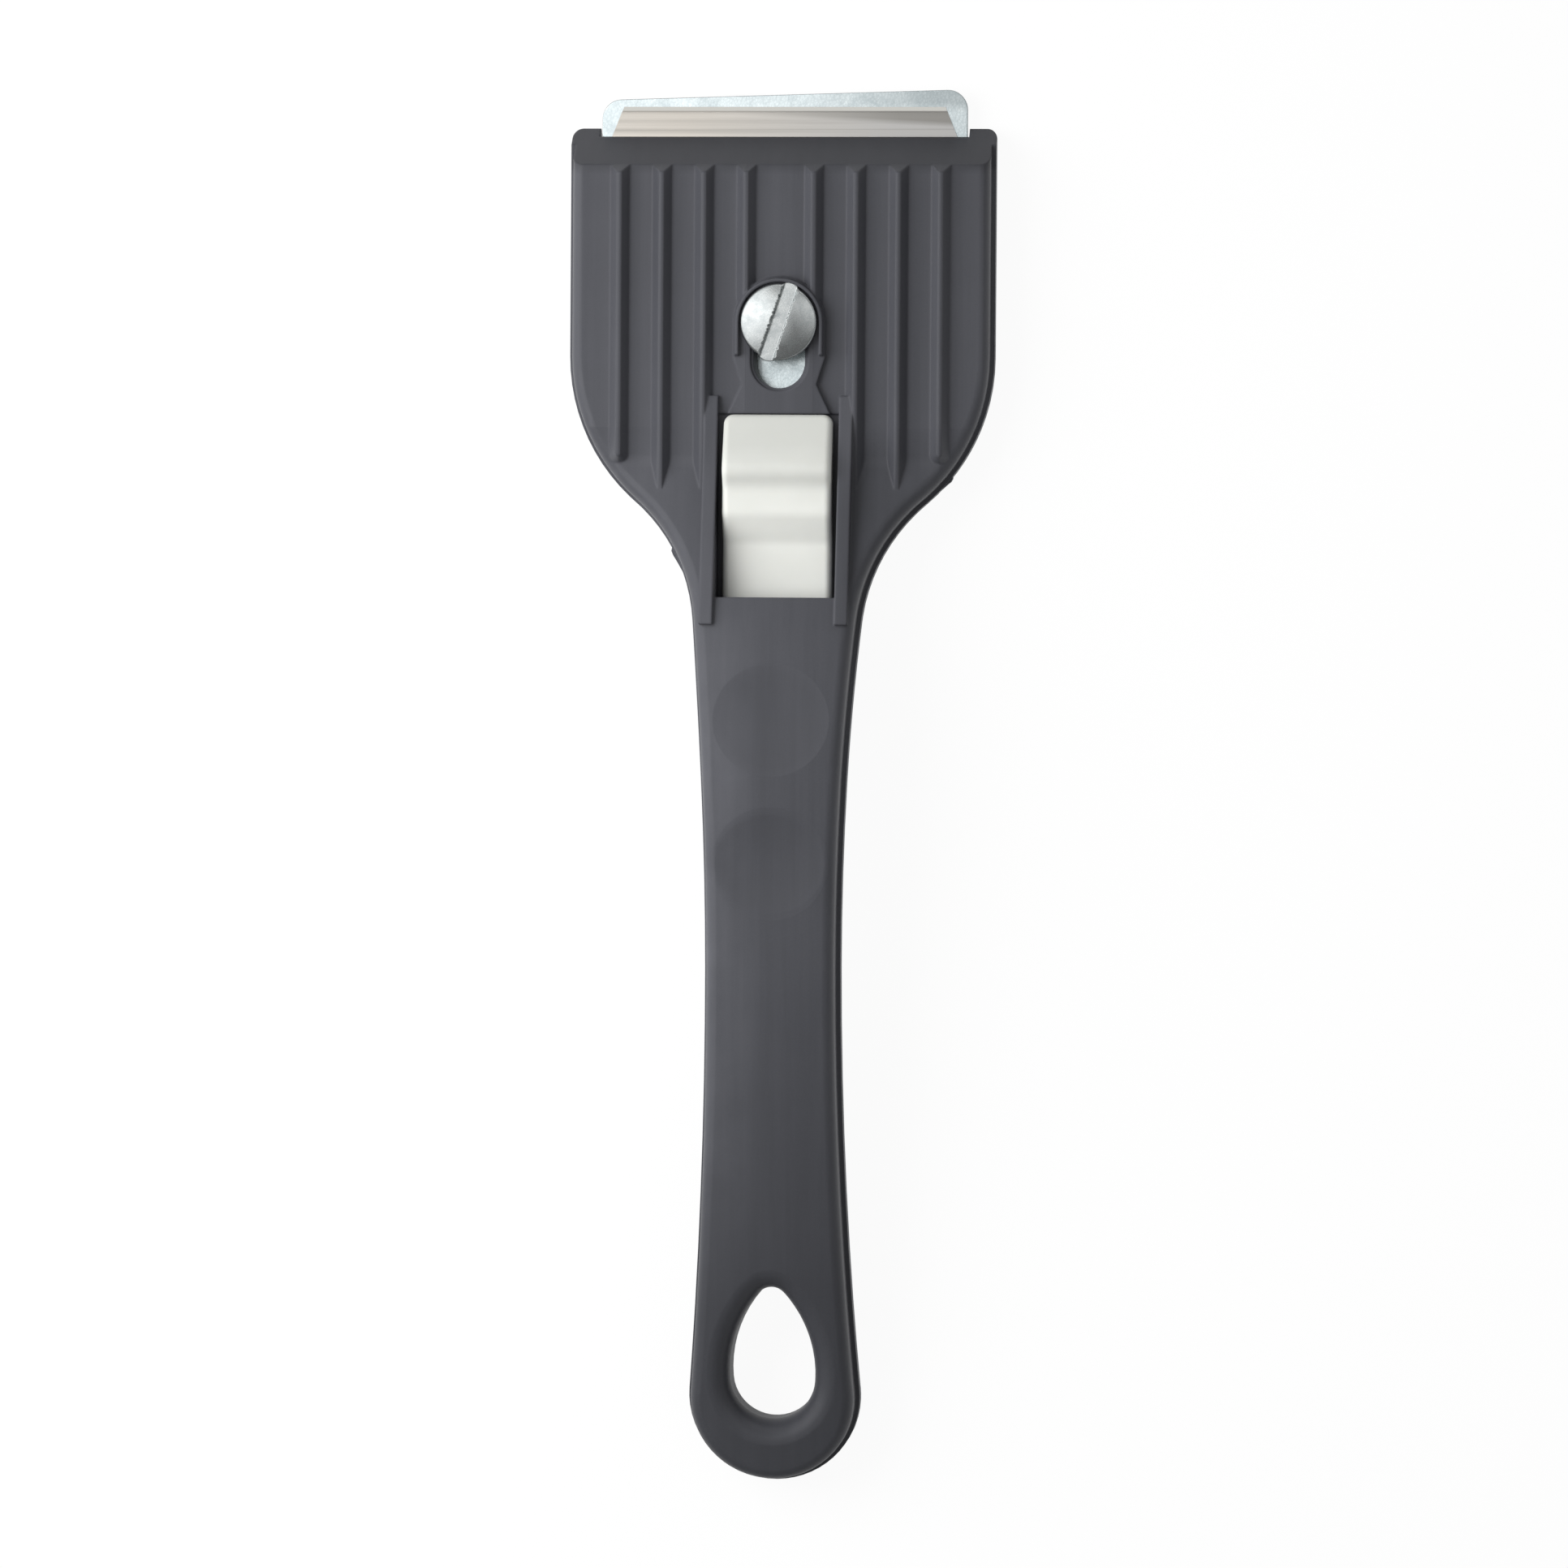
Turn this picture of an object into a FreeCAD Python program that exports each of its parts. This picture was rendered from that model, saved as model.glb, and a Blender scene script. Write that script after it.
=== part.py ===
"""Ceramic hob scraper: arched plastic handle with a ribbed head, a fixed blade and a sliding guard.

Frame: X to the right, Y forward to the blade, Z up out of the ribbed side. The head and the tail
lie on Z = 0, and Y = 0 is half way between the guard's front edge and the tail. The guard is forward.
"""
import FreeCAD, Part
import math
import os
import Sketcher

doc = FreeCAD.newDocument("hob_scraper")

# Driving dimensions in millimetres and degrees. A station is a place along Y, a height one along Z.
SIZES = {
    # how far cutting outlines run past the body
    "cut_margin": 6.0,
    # plan of the moulding
    "head_width": 52.4,
    "lip_station": 79.9,
    "horn_reach": 1.1,
    "horn_round": 1.3,
    "side_end_station": 52.8,
    "head_corner_radius": 23.6,
    "neck_radius": 21.7,
    "grip_radius": 437.0,
    "waist_width": 16.6,
    "waist_station": -22.0,
    "tail_station": -75.15,
    "tail_radius": 10.55,
    "ledge_width": 0.5,
    # side view of the moulding
    "land_height": 6.8,
    "bevel_run": 3.7,
    "crown_station": 1.0,
    "crown_height": 15.7,
    "crown_radius": 72.0,
    "back_radius": 425.0,
    "ramp_angle": 18.0,
    "ramp_blend": 5.0,
    "grip_thickness": 8.0,
    "parting_depth": 4.6,
    "parting_height": 3.6,
    "edge_round": 1.3,
    "belly_round": 1.2,
    # ribs on the head
    "rib_height": 1.1,
    "rib_root": 0.2,
    "rib_width": 2.4,
    "rib_flank_angle": 40.0,
    "rib_pitch": 5.2,
    "rib_offset": 4.15,
    "rib_end_station": 35.0,
    "outer_rib_end_station": 39.4,
    "inner_rib_end_station": 58.5,
    # screw boss and slot
    "screw_station": 56.9,
    "boss_width": 11.3,
    "boss_height": 7.5,
    "boss_neck_width": 9.2,
    "boss_neck_station": 49.3,
    "boss_flare_width": 12.6,
    "collar_height": 8.3,
    "collar_length": 4.3,
    "collar_flank_angle": 10.0,
    "slot_step_width": 0.35,
    "slot_step_depth": 0.3,
    "seat_radius": 4.95,
    "slide_travel": 4.9,
    "slide_slack": 0.3,
    # cheeks beside the slider
    "cheek_width": 1.65,
    "cheek_front_station": 47.9,
    "cheek_front_height": 7.4,
    "cheek_rear_station": 19.9,
    "cheek_rear_height": 13.7,
    # hanging hole and thumb dimples
    "hole_tip_radius": 2.0,
    "hole_length": 9.3,
    "hole_setback": 2.55,
    "hole_radius": 5.25,
    "hole_flank_radius": 15.0,
    "hole_round": 2.6,
    "hole_under_round": 1.0,
    "front_dimple_station": 8.3,
    "front_dimple_width": 14.2,
    "front_dimple_length": 13.8,
    "front_dimple_depth": 0.22,
    "rear_dimple_station": -9.2,
    "rear_dimple_radius": 104.0,
    "rear_dimple_depth": 0.22,
    # channel, guard plate and blade
    "side_wall": 3.4,
    "plate_side_gap": 0.25,
    "plate_bottom": 0.8,
    "plate_thickness": 1.0,
    "plate_reach": 5.8,
    "plate_slant": 1.2,
    "plate_corner_radius": 2.4,
    "plate_rear_radius": 8.0,
    "plate_rear_station": 49.2,
    "tongue_rear_station": 36.2,
    "tongue_root_radius": 1.5,
    "stack_gap": 0.1,
    "blade_thickness": 0.3,
    "blade_reach": 3.7,
    "blade_depth": 22.0,
    "blade_side_inset": 1.1,
    "blade_clip_width": 1.6,
    "blade_clip_length": 4.0,
    "blade_bevel": 0.7,
    "blade_edge": 0.05,
    "peg_radius": 1.5,
    "peg_spacing": 22.0,
    "peg_length": 1.3,
    "peg_fit": 0.05,
    "peg_gap": 0.2,
    # bush and screw
    "bush_radius": 3.05,
    "bush_gap": 0.12,
    "rivet_gap": 0.02,
    "bush_spigot_radius": 2.75,
    "bush_flange_radius": 3.8,
    "bush_flange_thickness": 0.45,
    "head_lift": 0.2,
    "screw_tip_height": 0.6,
    "screw_tip_chamfer": 0.4,
    "thread_radius": 2.45,
    "thread_gap": 0.05,
    "screw_head_radius": 4.67,
    "screw_head_rim": 1.0,
    "screw_head_height": 1.7,
    "screw_head_round": 0.5,
    "screw_slot_width": 1.6,
    "screw_slot_depth": 1.1,
    "screw_slot_angle": 18.9,
    # thumb slider
    "slider_width": 13.4,
    "slider_side_gap": 0.75,
    "slider_front_gap": 0.12,
    "slider_front_station": 45.6,
    "slider_front_height": 8.0,
    "slider_crest_station": 38.7,
    "slider_crest_height": 11.1,
    "slider_valley_station": 36.7,
    "slider_valley_height": 9.8,
    "slider_second_station": 33.4,
    "slider_second_height": 10.2,
    "slider_flat_station": 29.9,
    "slider_flat_height": 8.6,
    "slider_rear_station": 22.2,
    "stem_length": 8.8,
    "stem_width": 10.8,
    "stem_setback": 0.6,
    "slider_tail_thickness": 1.9,
    "slider_edge_round": 0.8,
    "slider_corner_round": 1.2,
    "slider_wave_round": 2.0,
    "skin_station": 23.2,
    "pocket_gap": 0.3,
    "leg_width": 6.0,
    "leg_thickness": 1.3,
    "leg_station": 40.0,
    "leg_spread": 3.6,
    "leg_gap": 0.1,
    "hook_reach": 0.5,
    "hook_height": 0.5,
}

sheet = doc.addObject("Spreadsheet::Sheet", "dims")
for row, (alias, number) in enumerate(SIZES.items(), start=1):
    sheet.set("A%d" % row, alias)
    sheet.set("B%d" % row, str(number))
    sheet.setAlias("B%d" % row, alias)
doc.recompute()


class Size:
    """A length or angle with its number and the expression that binds it to the sheet."""

    def __init__(self, value, text):
        self.value = float(value)
        self.text = text

    def __add__(self, other):
        other = as_size(other)
        return Size(self.value + other.value, "(%s + %s)" % (self.text, other.text))

    def __sub__(self, other):
        other = as_size(other)
        return Size(self.value - other.value, "(%s - %s)" % (self.text, other.text))

    def __mul__(self, other):
        other = as_size(other)
        return Size(self.value * other.value, "(%s * %s)" % (self.text, other.text))

    def __truediv__(self, other):
        other = as_size(other)
        return Size(self.value / other.value, "(%s / %s)" % (self.text, other.text))

    def __neg__(self):
        return Size(-self.value, "(0 - %s)" % self.text)


def as_size(number):
    return number if isinstance(number, Size) else Size(number, repr(float(number)))


def size(alias):
    return Size(sheet.get(alias), "dims.%s" % alias)


def trig(function, angle):
    value = getattr(math, function)(math.radians(angle.value))
    return Size(value, "%s(%s * 1 deg)" % (function, angle.text))


def root(square):
    return Size(math.sqrt(square.value), "sqrt(%s)" % square.text)


def vector(x, y, z=0.0):
    return FreeCAD.Vector(x, y, z)


class Outline:
    """One sketch on an origin plane of its body, with bound points and radii."""

    def __init__(self, body, name, role, offset=None):
        self.body = body
        self.sketch = body.newObject("Sketcher::SketchObject", name)
        planes = [item for item in body.Origin.OriginFeatures if item.Role == role]
        self.sketch.AttachmentSupport = [(planes[0], "")]
        self.sketch.MapMode = "FlatFace"
        if offset is not None:
            self.sketch.AttachmentOffset = FreeCAD.Placement(vector(0, 0, offset.value), FreeCAD.Rotation())
            self.sketch.setExpression("AttachmentOffset.Base.z", offset.text)

    def constrain(self, *terms):
        return self.sketch.addConstraint(Sketcher.Constraint(*terms))

    def bind(self, kind, *terms):
        """Add one dimension whose last term is a Size."""
        index = self.constrain(kind, *terms[:-1], terms[-1].value)
        self.sketch.setExpression("Constraints[%d]" % index, terms[-1].text)

    def place(self, geometry, point, x, y):
        self.bind("DistanceX", -1, 1, geometry, point, as_size(x))
        self.bind("DistanceY", -1, 1, geometry, point, as_size(y))

    def line(self, start, end):
        return self.sketch.addGeometry(Part.LineSegment(vector(*start), vector(*end)))

    def arc(self, centre, radius, first, last):
        circle = Part.Circle(vector(*centre), vector(0, 0, 1), radius)
        return self.sketch.addGeometry(Part.ArcOfCircle(circle, first, last))

    def circle(self, x, y, radius):
        round_edge = Part.Circle(vector(as_size(x).value, as_size(y).value), vector(0, 0, 1), radius.value)
        geometry = self.sketch.addGeometry(round_edge)
        self.place(geometry, 3, x, y)
        self.bind("Radius", geometry, radius)

    def chain(self, points, bulges=None):
        """A closed run of bound points; bulges gives signed radii of the arcs after those points.

        A positive radius turns left on the way to the next point, a negative one right.
        """
        bulges = bulges or {}
        points = [(as_size(x), as_size(y)) for x, y in points]
        runs = []
        for index, (x, y) in enumerate(points):
            far_x, far_y = points[(index + 1) % len(points)]
            start = (x.value, y.value)
            end = (far_x.value, far_y.value)
            if index in bulges:
                runs.append(self.bulge(start, end, bulges[index]))
            else:
                runs.append((self.line(start, end), 1, 2))
        for index, (geometry, first, last) in enumerate(runs):
            after, after_first, _ = runs[(index + 1) % len(runs)]
            self.constrain("Coincident", geometry, last, after, after_first)
            self.place(geometry, first, *points[index])
        for index, radius in bulges.items():
            self.bind("Radius", runs[index][0], radius if radius.value > 0 else -radius)

    def rectangle(self, half, rear, front):
        """A rectangle across the middle plane between two stations."""
        self.chain([(half, rear), (half, front), (-half, front), (-half, rear)])

    def obround(self, x, rear, front, radius):
        """A slot along Y between the centres of its two round ends."""
        ends = [(x - radius, rear), (x, rear - radius), (x + radius, rear)]
        self.chain(front_round(radius, front, x) + ends, {0: radius, 1: radius, 3: radius, 4: radius})

    def bulge(self, start, end, radius):
        """An arc between two points; returns its geometry and its first and last point numbers."""
        reach = abs(radius.value)
        half = vector(end[0] - start[0], end[1] - start[1]) * 0.5
        rise = math.sqrt(max(reach * reach - half.Length * half.Length, 0.0))
        left = vector(-half.y, half.x).normalize()
        turn = 1.0 if radius.value > 0 else -1.0
        centre = vector(*start) + half + left * (rise * turn)
        start_angle = math.atan2(start[1] - centre.y, start[0] - centre.x)
        end_angle = math.atan2(end[1] - centre.y, end[0] - centre.x)
        middle = (centre.x, centre.y)
        if turn > 0:
            return self.arc(middle, reach, start_angle, end_angle), 1, 2
        return self.arc(middle, reach, end_angle, start_angle), 2, 1

    def pad(self, length, reverse=False, symmetric=False, flank=None):
        return self.extrude("PartDesign::Pad", length, reverse, symmetric, flank)

    def pocket(self, length, reverse=False, symmetric=False, flank=None):
        """Cut the outline out of the body; a cut that takes nothing away is an error."""
        before = self.body.Shape.Volume
        feature = self.extrude("PartDesign::Pocket", length, reverse, symmetric, flank)
        if self.body.Shape.Volume > before - 1e-3:
            raise ValueError("%s cuts nothing" % self.sketch.Name)
        return feature

    def extrude(self, kind, length, reverse, symmetric, flank):
        """Extrude the outline; a flank angle draws it in on the way."""
        length = as_size(length)
        feature = self.body.newObject(kind, self.sketch.Name + "_" + kind.split("::")[1].lower())
        feature.Profile = self.sketch
        feature.SideType = "Symmetric" if symmetric else "One side"
        feature.Reversed = reverse
        feature.Length = length.value
        feature.setExpression("Length", length.text)
        if flank is not None:
            feature.setExpression("TaperAngle", (-flank).text)
        doc.recompute()
        self.sketch.Visibility = False
        return feature

    def revolve(self):
        """Turn the outline once round the body's Z axis."""
        feature = self.body.newObject("PartDesign::Revolution", self.sketch.Name + "_revolution")
        feature.Profile = self.sketch
        axes = [item for item in self.body.Origin.OriginFeatures if item.Role == "Z_Axis"]
        feature.ReferenceAxis = (axes[0], [""])
        feature.Angle = 360.0
        doc.recompute()
        return feature


def front_round(radius, station, middle=0):
    """Three points of a half circle that bulges forward, from right to left."""
    middle = as_size(middle)
    return [(middle + radius, station), (middle, station + radius), (middle - radius, station)]


def new_body(label):
    body = doc.addObject("PartDesign::Body", label)
    body.Label = label
    return body


def middle_of(edge):
    return edge.valueAt((edge.FirstParameter + edge.LastParameter) / 2)


def round_edges(body, name, radius, wanted):
    """Fillet every edge of the body's tip for which wanted(edge) holds."""
    base = body.Tip
    chosen = ["Edge%d" % (n + 1) for n, edge in enumerate(base.Shape.Edges)
              if not edge.Degenerated and wanted(edge)]
    if not chosen:
        raise ValueError("%s finds no edge" % name)
    feature = body.newObject("PartDesign::Fillet", name)
    feature.Base = (base, chosen)
    feature.Radius = radius.value
    feature.setExpression("Radius", radius.text)
    doc.recompute()
    return feature


# Stations, heights and widths that several pieces share
half_head = size("head_width") / 2
lip = size("lip_station")
screw_y = size("screw_station")
travel = size("slide_travel")
land = size("land_height")
plate_top = size("plate_bottom") + size("plate_thickness")
blade_bottom = plate_top + size("stack_gap")
roof = blade_bottom + size("blade_thickness") + size("stack_gap")
half_channel = half_head - size("side_wall")
half_plate = half_channel - size("plate_side_gap")
peg_x = size("peg_spacing") / 2
peg_y = lip + size("blade_reach") - size("blade_depth") / 2
half_window = size("slider_width") / 2 + size("slider_side_gap")
slider_underside = size("slider_flat_height") - size("slider_tail_thickness")
stem_front = size("slider_front_station") - size("stem_setback")
stem_rear = stem_front - size("stem_length")
window_front = size("slider_front_station") + size("slider_front_gap")
tail_y = size("tail_station")
margin = size("cut_margin")
beyond_front = lip + margin * 2
beyond_tail = tail_y - size("tail_radius") - margin
above = size("crown_height") + margin
across = size("head_width") + margin

# How close an edge has to lie to a place to count as being there
NEAR = 0.02


def bevel_point(height):
    """The place along the sloping front face of the head at a height."""
    slope = size("bevel_run") / (land - roof)
    return (lip - (height - roof) * slope, height)


def plan_outline(body, name, inset):
    """The moulding seen from above, as tangent lines and arcs, drawn in by an inset."""
    plan = Outline(body, name, "XY_Plane")
    half = half_head - inset
    front = lip + size("horn_reach")
    horn = size("horn_round") - inset
    corner = size("head_corner_radius") - inset
    neck = size("neck_radius") + inset
    grip = size("grip_radius") + inset
    waist = size("waist_width") / 2 - inset
    waist_y = size("waist_station")
    tail = size("tail_radius") - inset
    side_end = size("side_end_station")

    # Centres of the tangent arcs on the right side
    corner_at = vector(half.value - corner.value, side_end.value)
    grip_at = vector(waist.value + grip.value, waist_y.value)
    neck_at = circle_meeting(grip_at, grip.value - neck.value, corner_at, corner.value + neck.value)
    drop = waist_y.value - tail_y.value
    back = (waist.value ** 2 + drop ** 2 - tail.value ** 2) / (2 * (tail.value - waist.value))
    back_at = vector(waist.value + back, waist_y.value)
    tail_at = vector(0, tail_y.value)

    def heading(centre, point):
        return math.atan2(point.y - centre.y, point.x - centre.x)

    corner_low = heading(corner_at, neck_at)
    neck_high = heading(neck_at, corner_at)
    neck_low = heading(grip_at, neck_at)
    back_low = heading(back_at, tail_at)
    tail_high = heading(tail_at, back_at)

    def flip(angle):
        return math.pi - angle

    brow = half - horn
    front_line = plan.line((brow.value, front.value), (-brow.value, front.value))
    horn_at = vector(brow.value, front.value - horn.value)
    sides = {}
    for name_of_side, sign in (("right", 1.0), ("left", -1.0)):
        def arc(centre, radius, first, last):
            if sign > 0:
                return plan.arc((centre.x, centre.y), radius, first, last)
            return plan.arc((-centre.x, centre.y), radius, flip(last), flip(first))
        wall = plan.line((sign * half.value, horn_at.y), (sign * half.value, side_end.value))
        run = [
            arc(horn_at, horn.value, 0.0, math.pi / 2),
            arc(corner_at, corner.value, corner_low, 0.0),
            arc(neck_at, neck.value, neck_high, neck_low),
            arc(grip_at, grip.value, neck_low, math.pi),
            arc(back_at, back, math.pi, back_low),
        ]
        sides[name_of_side] = (sign, wall, run)
    tail_arc = plan.arc((0, tail_y.value), tail.value, flip(tail_high), tail_high)

    for name_of_side, (sign, wall, run) in sides.items():
        first, last = (1, 2) if sign > 0 else (2, 1)
        horn_arc, corner_arc, neck_arc, grip_arc, back_arc = run
        front_end = 1 if sign > 0 else 2
        plan.constrain("Coincident", front_line, front_end, horn_arc, last)
        plan.constrain("Coincident", horn_arc, first, wall, 1)
        plan.place(front_line, front_end, brow if sign > 0 else -brow, front)
        plan.bind("Radius", horn_arc, horn)
        plan.constrain("Tangent", wall, 2, corner_arc, last)
        plan.constrain("Tangent", corner_arc, first, neck_arc, first)
        plan.constrain("Tangent", neck_arc, last, grip_arc, first)
        plan.constrain("Tangent", grip_arc, last, back_arc, first)
        plan.constrain("Tangent", back_arc, last, tail_arc, last)
        plan.place(wall, 1, half if sign > 0 else -half, front - horn)
        plan.place(wall, 2, half if sign > 0 else -half, side_end)
        plan.bind("Radius", corner_arc, corner)
        plan.bind("Radius", neck_arc, neck)
        plan.bind("Radius", grip_arc, grip)
        plan.place(grip_arc, last, waist if sign > 0 else -waist, waist_y)
        plan.bind("DistanceY", -1, 1, grip_arc, 3, waist_y)
    plan.place(tail_arc, 3, 0, tail_y)
    plan.bind("Radius", tail_arc, tail)
    return plan


def circle_meeting(first, first_radius, second, second_radius):
    """The lower of the two points at given distances from two centres."""
    between = second - first
    span = between.Length
    along = (first_radius ** 2 - second_radius ** 2 + span ** 2) / (2 * span)
    aside = math.sqrt(first_radius ** 2 - along ** 2)
    axis = between * (1.0 / span)
    across = vector(-axis.y, axis.x)
    meetings = [first + axis * along + across * (aside * sign) for sign in (1.0, -1.0)]
    return min(meetings, key=lambda point: point.y)


def arch_points(level, depth):
    """Side view of one skin of the moulding: flat head, ramp, crown and falling back.

    Returns the points from the front to the rear and the radii of the arcs after them.
    """
    angle = size("ramp_angle")
    crown_y = size("crown_station")
    top = size("crown_height") - depth
    crown = size("crown_radius") - depth
    back = size("back_radius") - depth
    ramp_top_y = crown_y + crown * trig("sin", angle)
    ramp_top_z = top - crown * (as_size(1) - trig("cos", angle))
    foot_y = ramp_top_y + (ramp_top_z - level) / trig("tan", angle)
    blend = size("ramp_blend") * trig("tan", angle / 2)
    run = crown_y - beyond_tail
    points = [
        (beyond_front, level),
        (foot_y + blend, level),
        (foot_y - blend * trig("cos", angle), level + blend * trig("sin", angle)),
        (ramp_top_y, ramp_top_z),
        (crown_y, top),
        (beyond_tail, top - back + root(back * back - run * run)),
    ]
    radii = {1: -size("ramp_blend"), 3: crown, 4: back}
    return points, radii


def cut_above(body, name, level, depth):
    """Take away everything above one arched skin."""
    profile = Outline(body, name, "YZ_Plane")
    points, radii = arch_points(level, depth)
    profile.chain(points + [(beyond_tail, above), (beyond_front, above)], radii)
    return profile.pocket(across, symmetric=True)


def cut_below(body, name, depth):
    """Hollow out the underside of the arch behind the head."""
    profile = Outline(body, name, "YZ_Plane")
    points, radii = arch_points(as_size(0), depth)
    profile.chain(points + [(beyond_tail, -margin), (beyond_front, -margin)], radii)
    return profile.pocket(across, symmetric=True)


def make_handle():
    """The one-piece moulding: ribbed head, arched grip, hanging loop, slider window and blade seat."""
    body = new_body("handle_body")

    # Lower half to the parting ledge, then the upper half drawn in by the ledge
    plan_outline(body, "lower_plan", as_size(0)).pad(above)
    cut_above(body, "parting", size("parting_height"), size("parting_depth"))
    plan_outline(body, "upper_plan", size("ledge_width")).pad(above)
    cut_above(body, "crown", land, as_size(0))
    waist_edge = size("waist_width").value / 2 - size("ledge_width").value * 2

    def on_rim(edge, height):
        middle = middle_of(edge)
        outside = abs(middle.x) > waist_edge or middle.y < tail_y.value
        return abs(middle.z - height(middle.y)) < NEAR and outside and middle.y < lip.value

    def crown_rim(edge):
        return on_rim(edge, lambda y: skin_height(y, land.value, 0.0))

    round_edges(body, "crown_round", size("edge_round"), crown_rim)
    cut_below(body, "belly", size("grip_thickness"))

    def belly_rim(edge):
        return on_rim(edge, lambda y: max(skin_height(y, 0.0, size("grip_thickness").value), 0.0))

    round_edges(body, "belly_rounding", size("belly_round"), belly_rim)

    add_cheeks(body)

    # Raised ribs from the front of the head into the ramp, the inner pair up to the screw boss
    add_ribs(body, "long_ribs", (1, 2), size("rib_end_station"))
    add_ribs(body, "outer_ribs", (3,), size("outer_rib_end_station"))
    add_ribs(body, "inner_ribs", (0,), size("inner_rib_end_station"))
    bevel = Outline(body, "front_bevel", "YZ_Plane")
    bevel.chain([bevel_point(-margin), (beyond_front, -margin), (beyond_front, above), bevel_point(above)])
    bevel.pocket(across, symmetric=True)

    add_boss(body)
    cut_window(body)
    cut_channel(body)
    cut_front_dimple(body)
    cut_rear_dimple(body)
    cut_hanging_hole(body)
    return body


def add_ribs(body, name, steps, rear):
    """Pairs of ribs with sloping flanks and round ends, counted outwards from the middle of the head."""
    angle = size("rib_flank_angle")
    half = size("rib_width") / 2 + size("rib_root") * trig("tan", angle)
    ribs = Outline(body, name, "XY_Plane", land - size("rib_root"))
    for step in steps:
        for sign in (1, -1):
            ribs.obround((size("rib_offset") + size("rib_pitch") * step) * sign, rear + half, lip, half)
    ribs.pad(size("rib_height") + size("rib_root"), flank=angle)


def add_boss(body):
    """Pad, horseshoe collar and guide slot of the screw."""
    half = size("boss_width") / 2
    neck = size("boss_neck_width") / 2
    flare = size("boss_flare_width") / 2
    collar_end = screw_y - size("collar_length")
    foot = land - size("rib_root")
    pad = Outline(body, "boss", "XY_Plane", foot)
    pad.chain(front_round(half, screw_y) + [
        (-half, collar_end), (-neck, size("boss_neck_station")), (-flare, window_front),
        (flare, window_front), (neck, size("boss_neck_station")), (half, collar_end),
    ], {0: half, 1: half})
    pad.pad(size("boss_height") - foot)
    collar = Outline(body, "collar", "XY_Plane", foot)
    collar.chain(front_round(half, screw_y) + [(-half, collar_end), (half, collar_end)], {0: half, 1: half})
    collar.pad(size("collar_height") - foot, flank=size("collar_flank_angle"))
    seat_half = size("seat_radius")
    behind = collar_end - margin
    seat = Outline(body, "seat", "XY_Plane", size("boss_height"))
    seat.chain(front_round(seat_half, screw_y) + [(-seat_half, behind), (seat_half, behind)],
               {0: seat_half, 1: seat_half})
    seat.pocket(size("rib_height") * 2, reverse=True)
    slot_half = size("bush_radius") + size("bush_gap")
    slot_end = screw_y - travel
    slot = Outline(body, "guide_slot", "XY_Plane")
    slot.obround(as_size(0), slot_end, screw_y, slot_half)
    slot.pocket(above, reverse=True)
    step = Outline(body, "slot_step", "XY_Plane", size("boss_height") - size("slot_step_depth"))
    step.obround(as_size(0), slot_end, screw_y, slot_half + size("slot_step_width"))
    step.pocket(margin, reverse=True)


def add_cheeks(body):
    """Upright cheeks beside the slider, low at the front and just proud of the ramp at the rear."""
    for name, sign in (("right_cheek", 1), ("left_cheek", -1)):
        cheek = Outline(body, name, "YZ_Plane", half_window * sign)
        cheek.chain([
            (size("cheek_front_station"), (land + roof) / 2),
            (size("cheek_front_station"), size("cheek_front_height")),
            (size("cheek_rear_station"), size("cheek_rear_height")),
            (size("cheek_rear_station"), slider_underside),
        ])
        cheek.pad(size("cheek_width"), reverse=sign < 0)


def cut_window(body):
    """Window for the slider, with a pocket under the skin behind it and a way down to the plate."""
    pocket_top = size("slider_flat_height") + size("pocket_gap")
    pocket_floor = slider_underside - size("pocket_gap")
    pocket_rear = size("slider_rear_station") - travel - size("slide_slack")
    window = Outline(body, "window", "YZ_Plane")
    window.chain([
        (window_front, pocket_floor), (window_front, above), (size("skin_station"), above),
        (size("skin_station"), pocket_top), (pocket_rear, pocket_top), (pocket_rear, pocket_floor),
    ])
    window.pocket(half_window * 2, symmetric=True)
    half_well = size("stem_width") / 2 + size("slider_side_gap")
    well_front = stem_front + size("slide_slack")
    well_rear = stem_rear - travel - size("slide_slack")
    well = Outline(body, "well", "XY_Plane")
    well.rectangle(half_well, well_rear, well_front)
    well.pocket(slider_underside, reverse=True)


def cut_channel(body):
    """Channel for plate and blade, open at the front, with the two pegs that hold the blade."""
    front = beyond_front
    corner = size("plate_rear_radius")
    rear = size("plate_rear_station") - travel - size("slide_slack")
    channel = Outline(body, "channel", "XY_Plane")
    channel.chain([
        (half_channel, front), (-half_channel, front), (-half_channel, rear + corner),
        (-half_channel + corner, rear), (half_channel - corner, rear), (half_channel, rear + corner),
    ], {2: corner, 4: corner})
    channel.pocket(roof, reverse=True)
    pegs = Outline(body, "pegs", "XY_Plane", roof)
    pegs.circle(peg_x, peg_y, size("peg_radius"))
    pegs.circle(-peg_x, peg_y, size("peg_radius"))
    pegs.pad(size("peg_length"), reverse=True)


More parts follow.
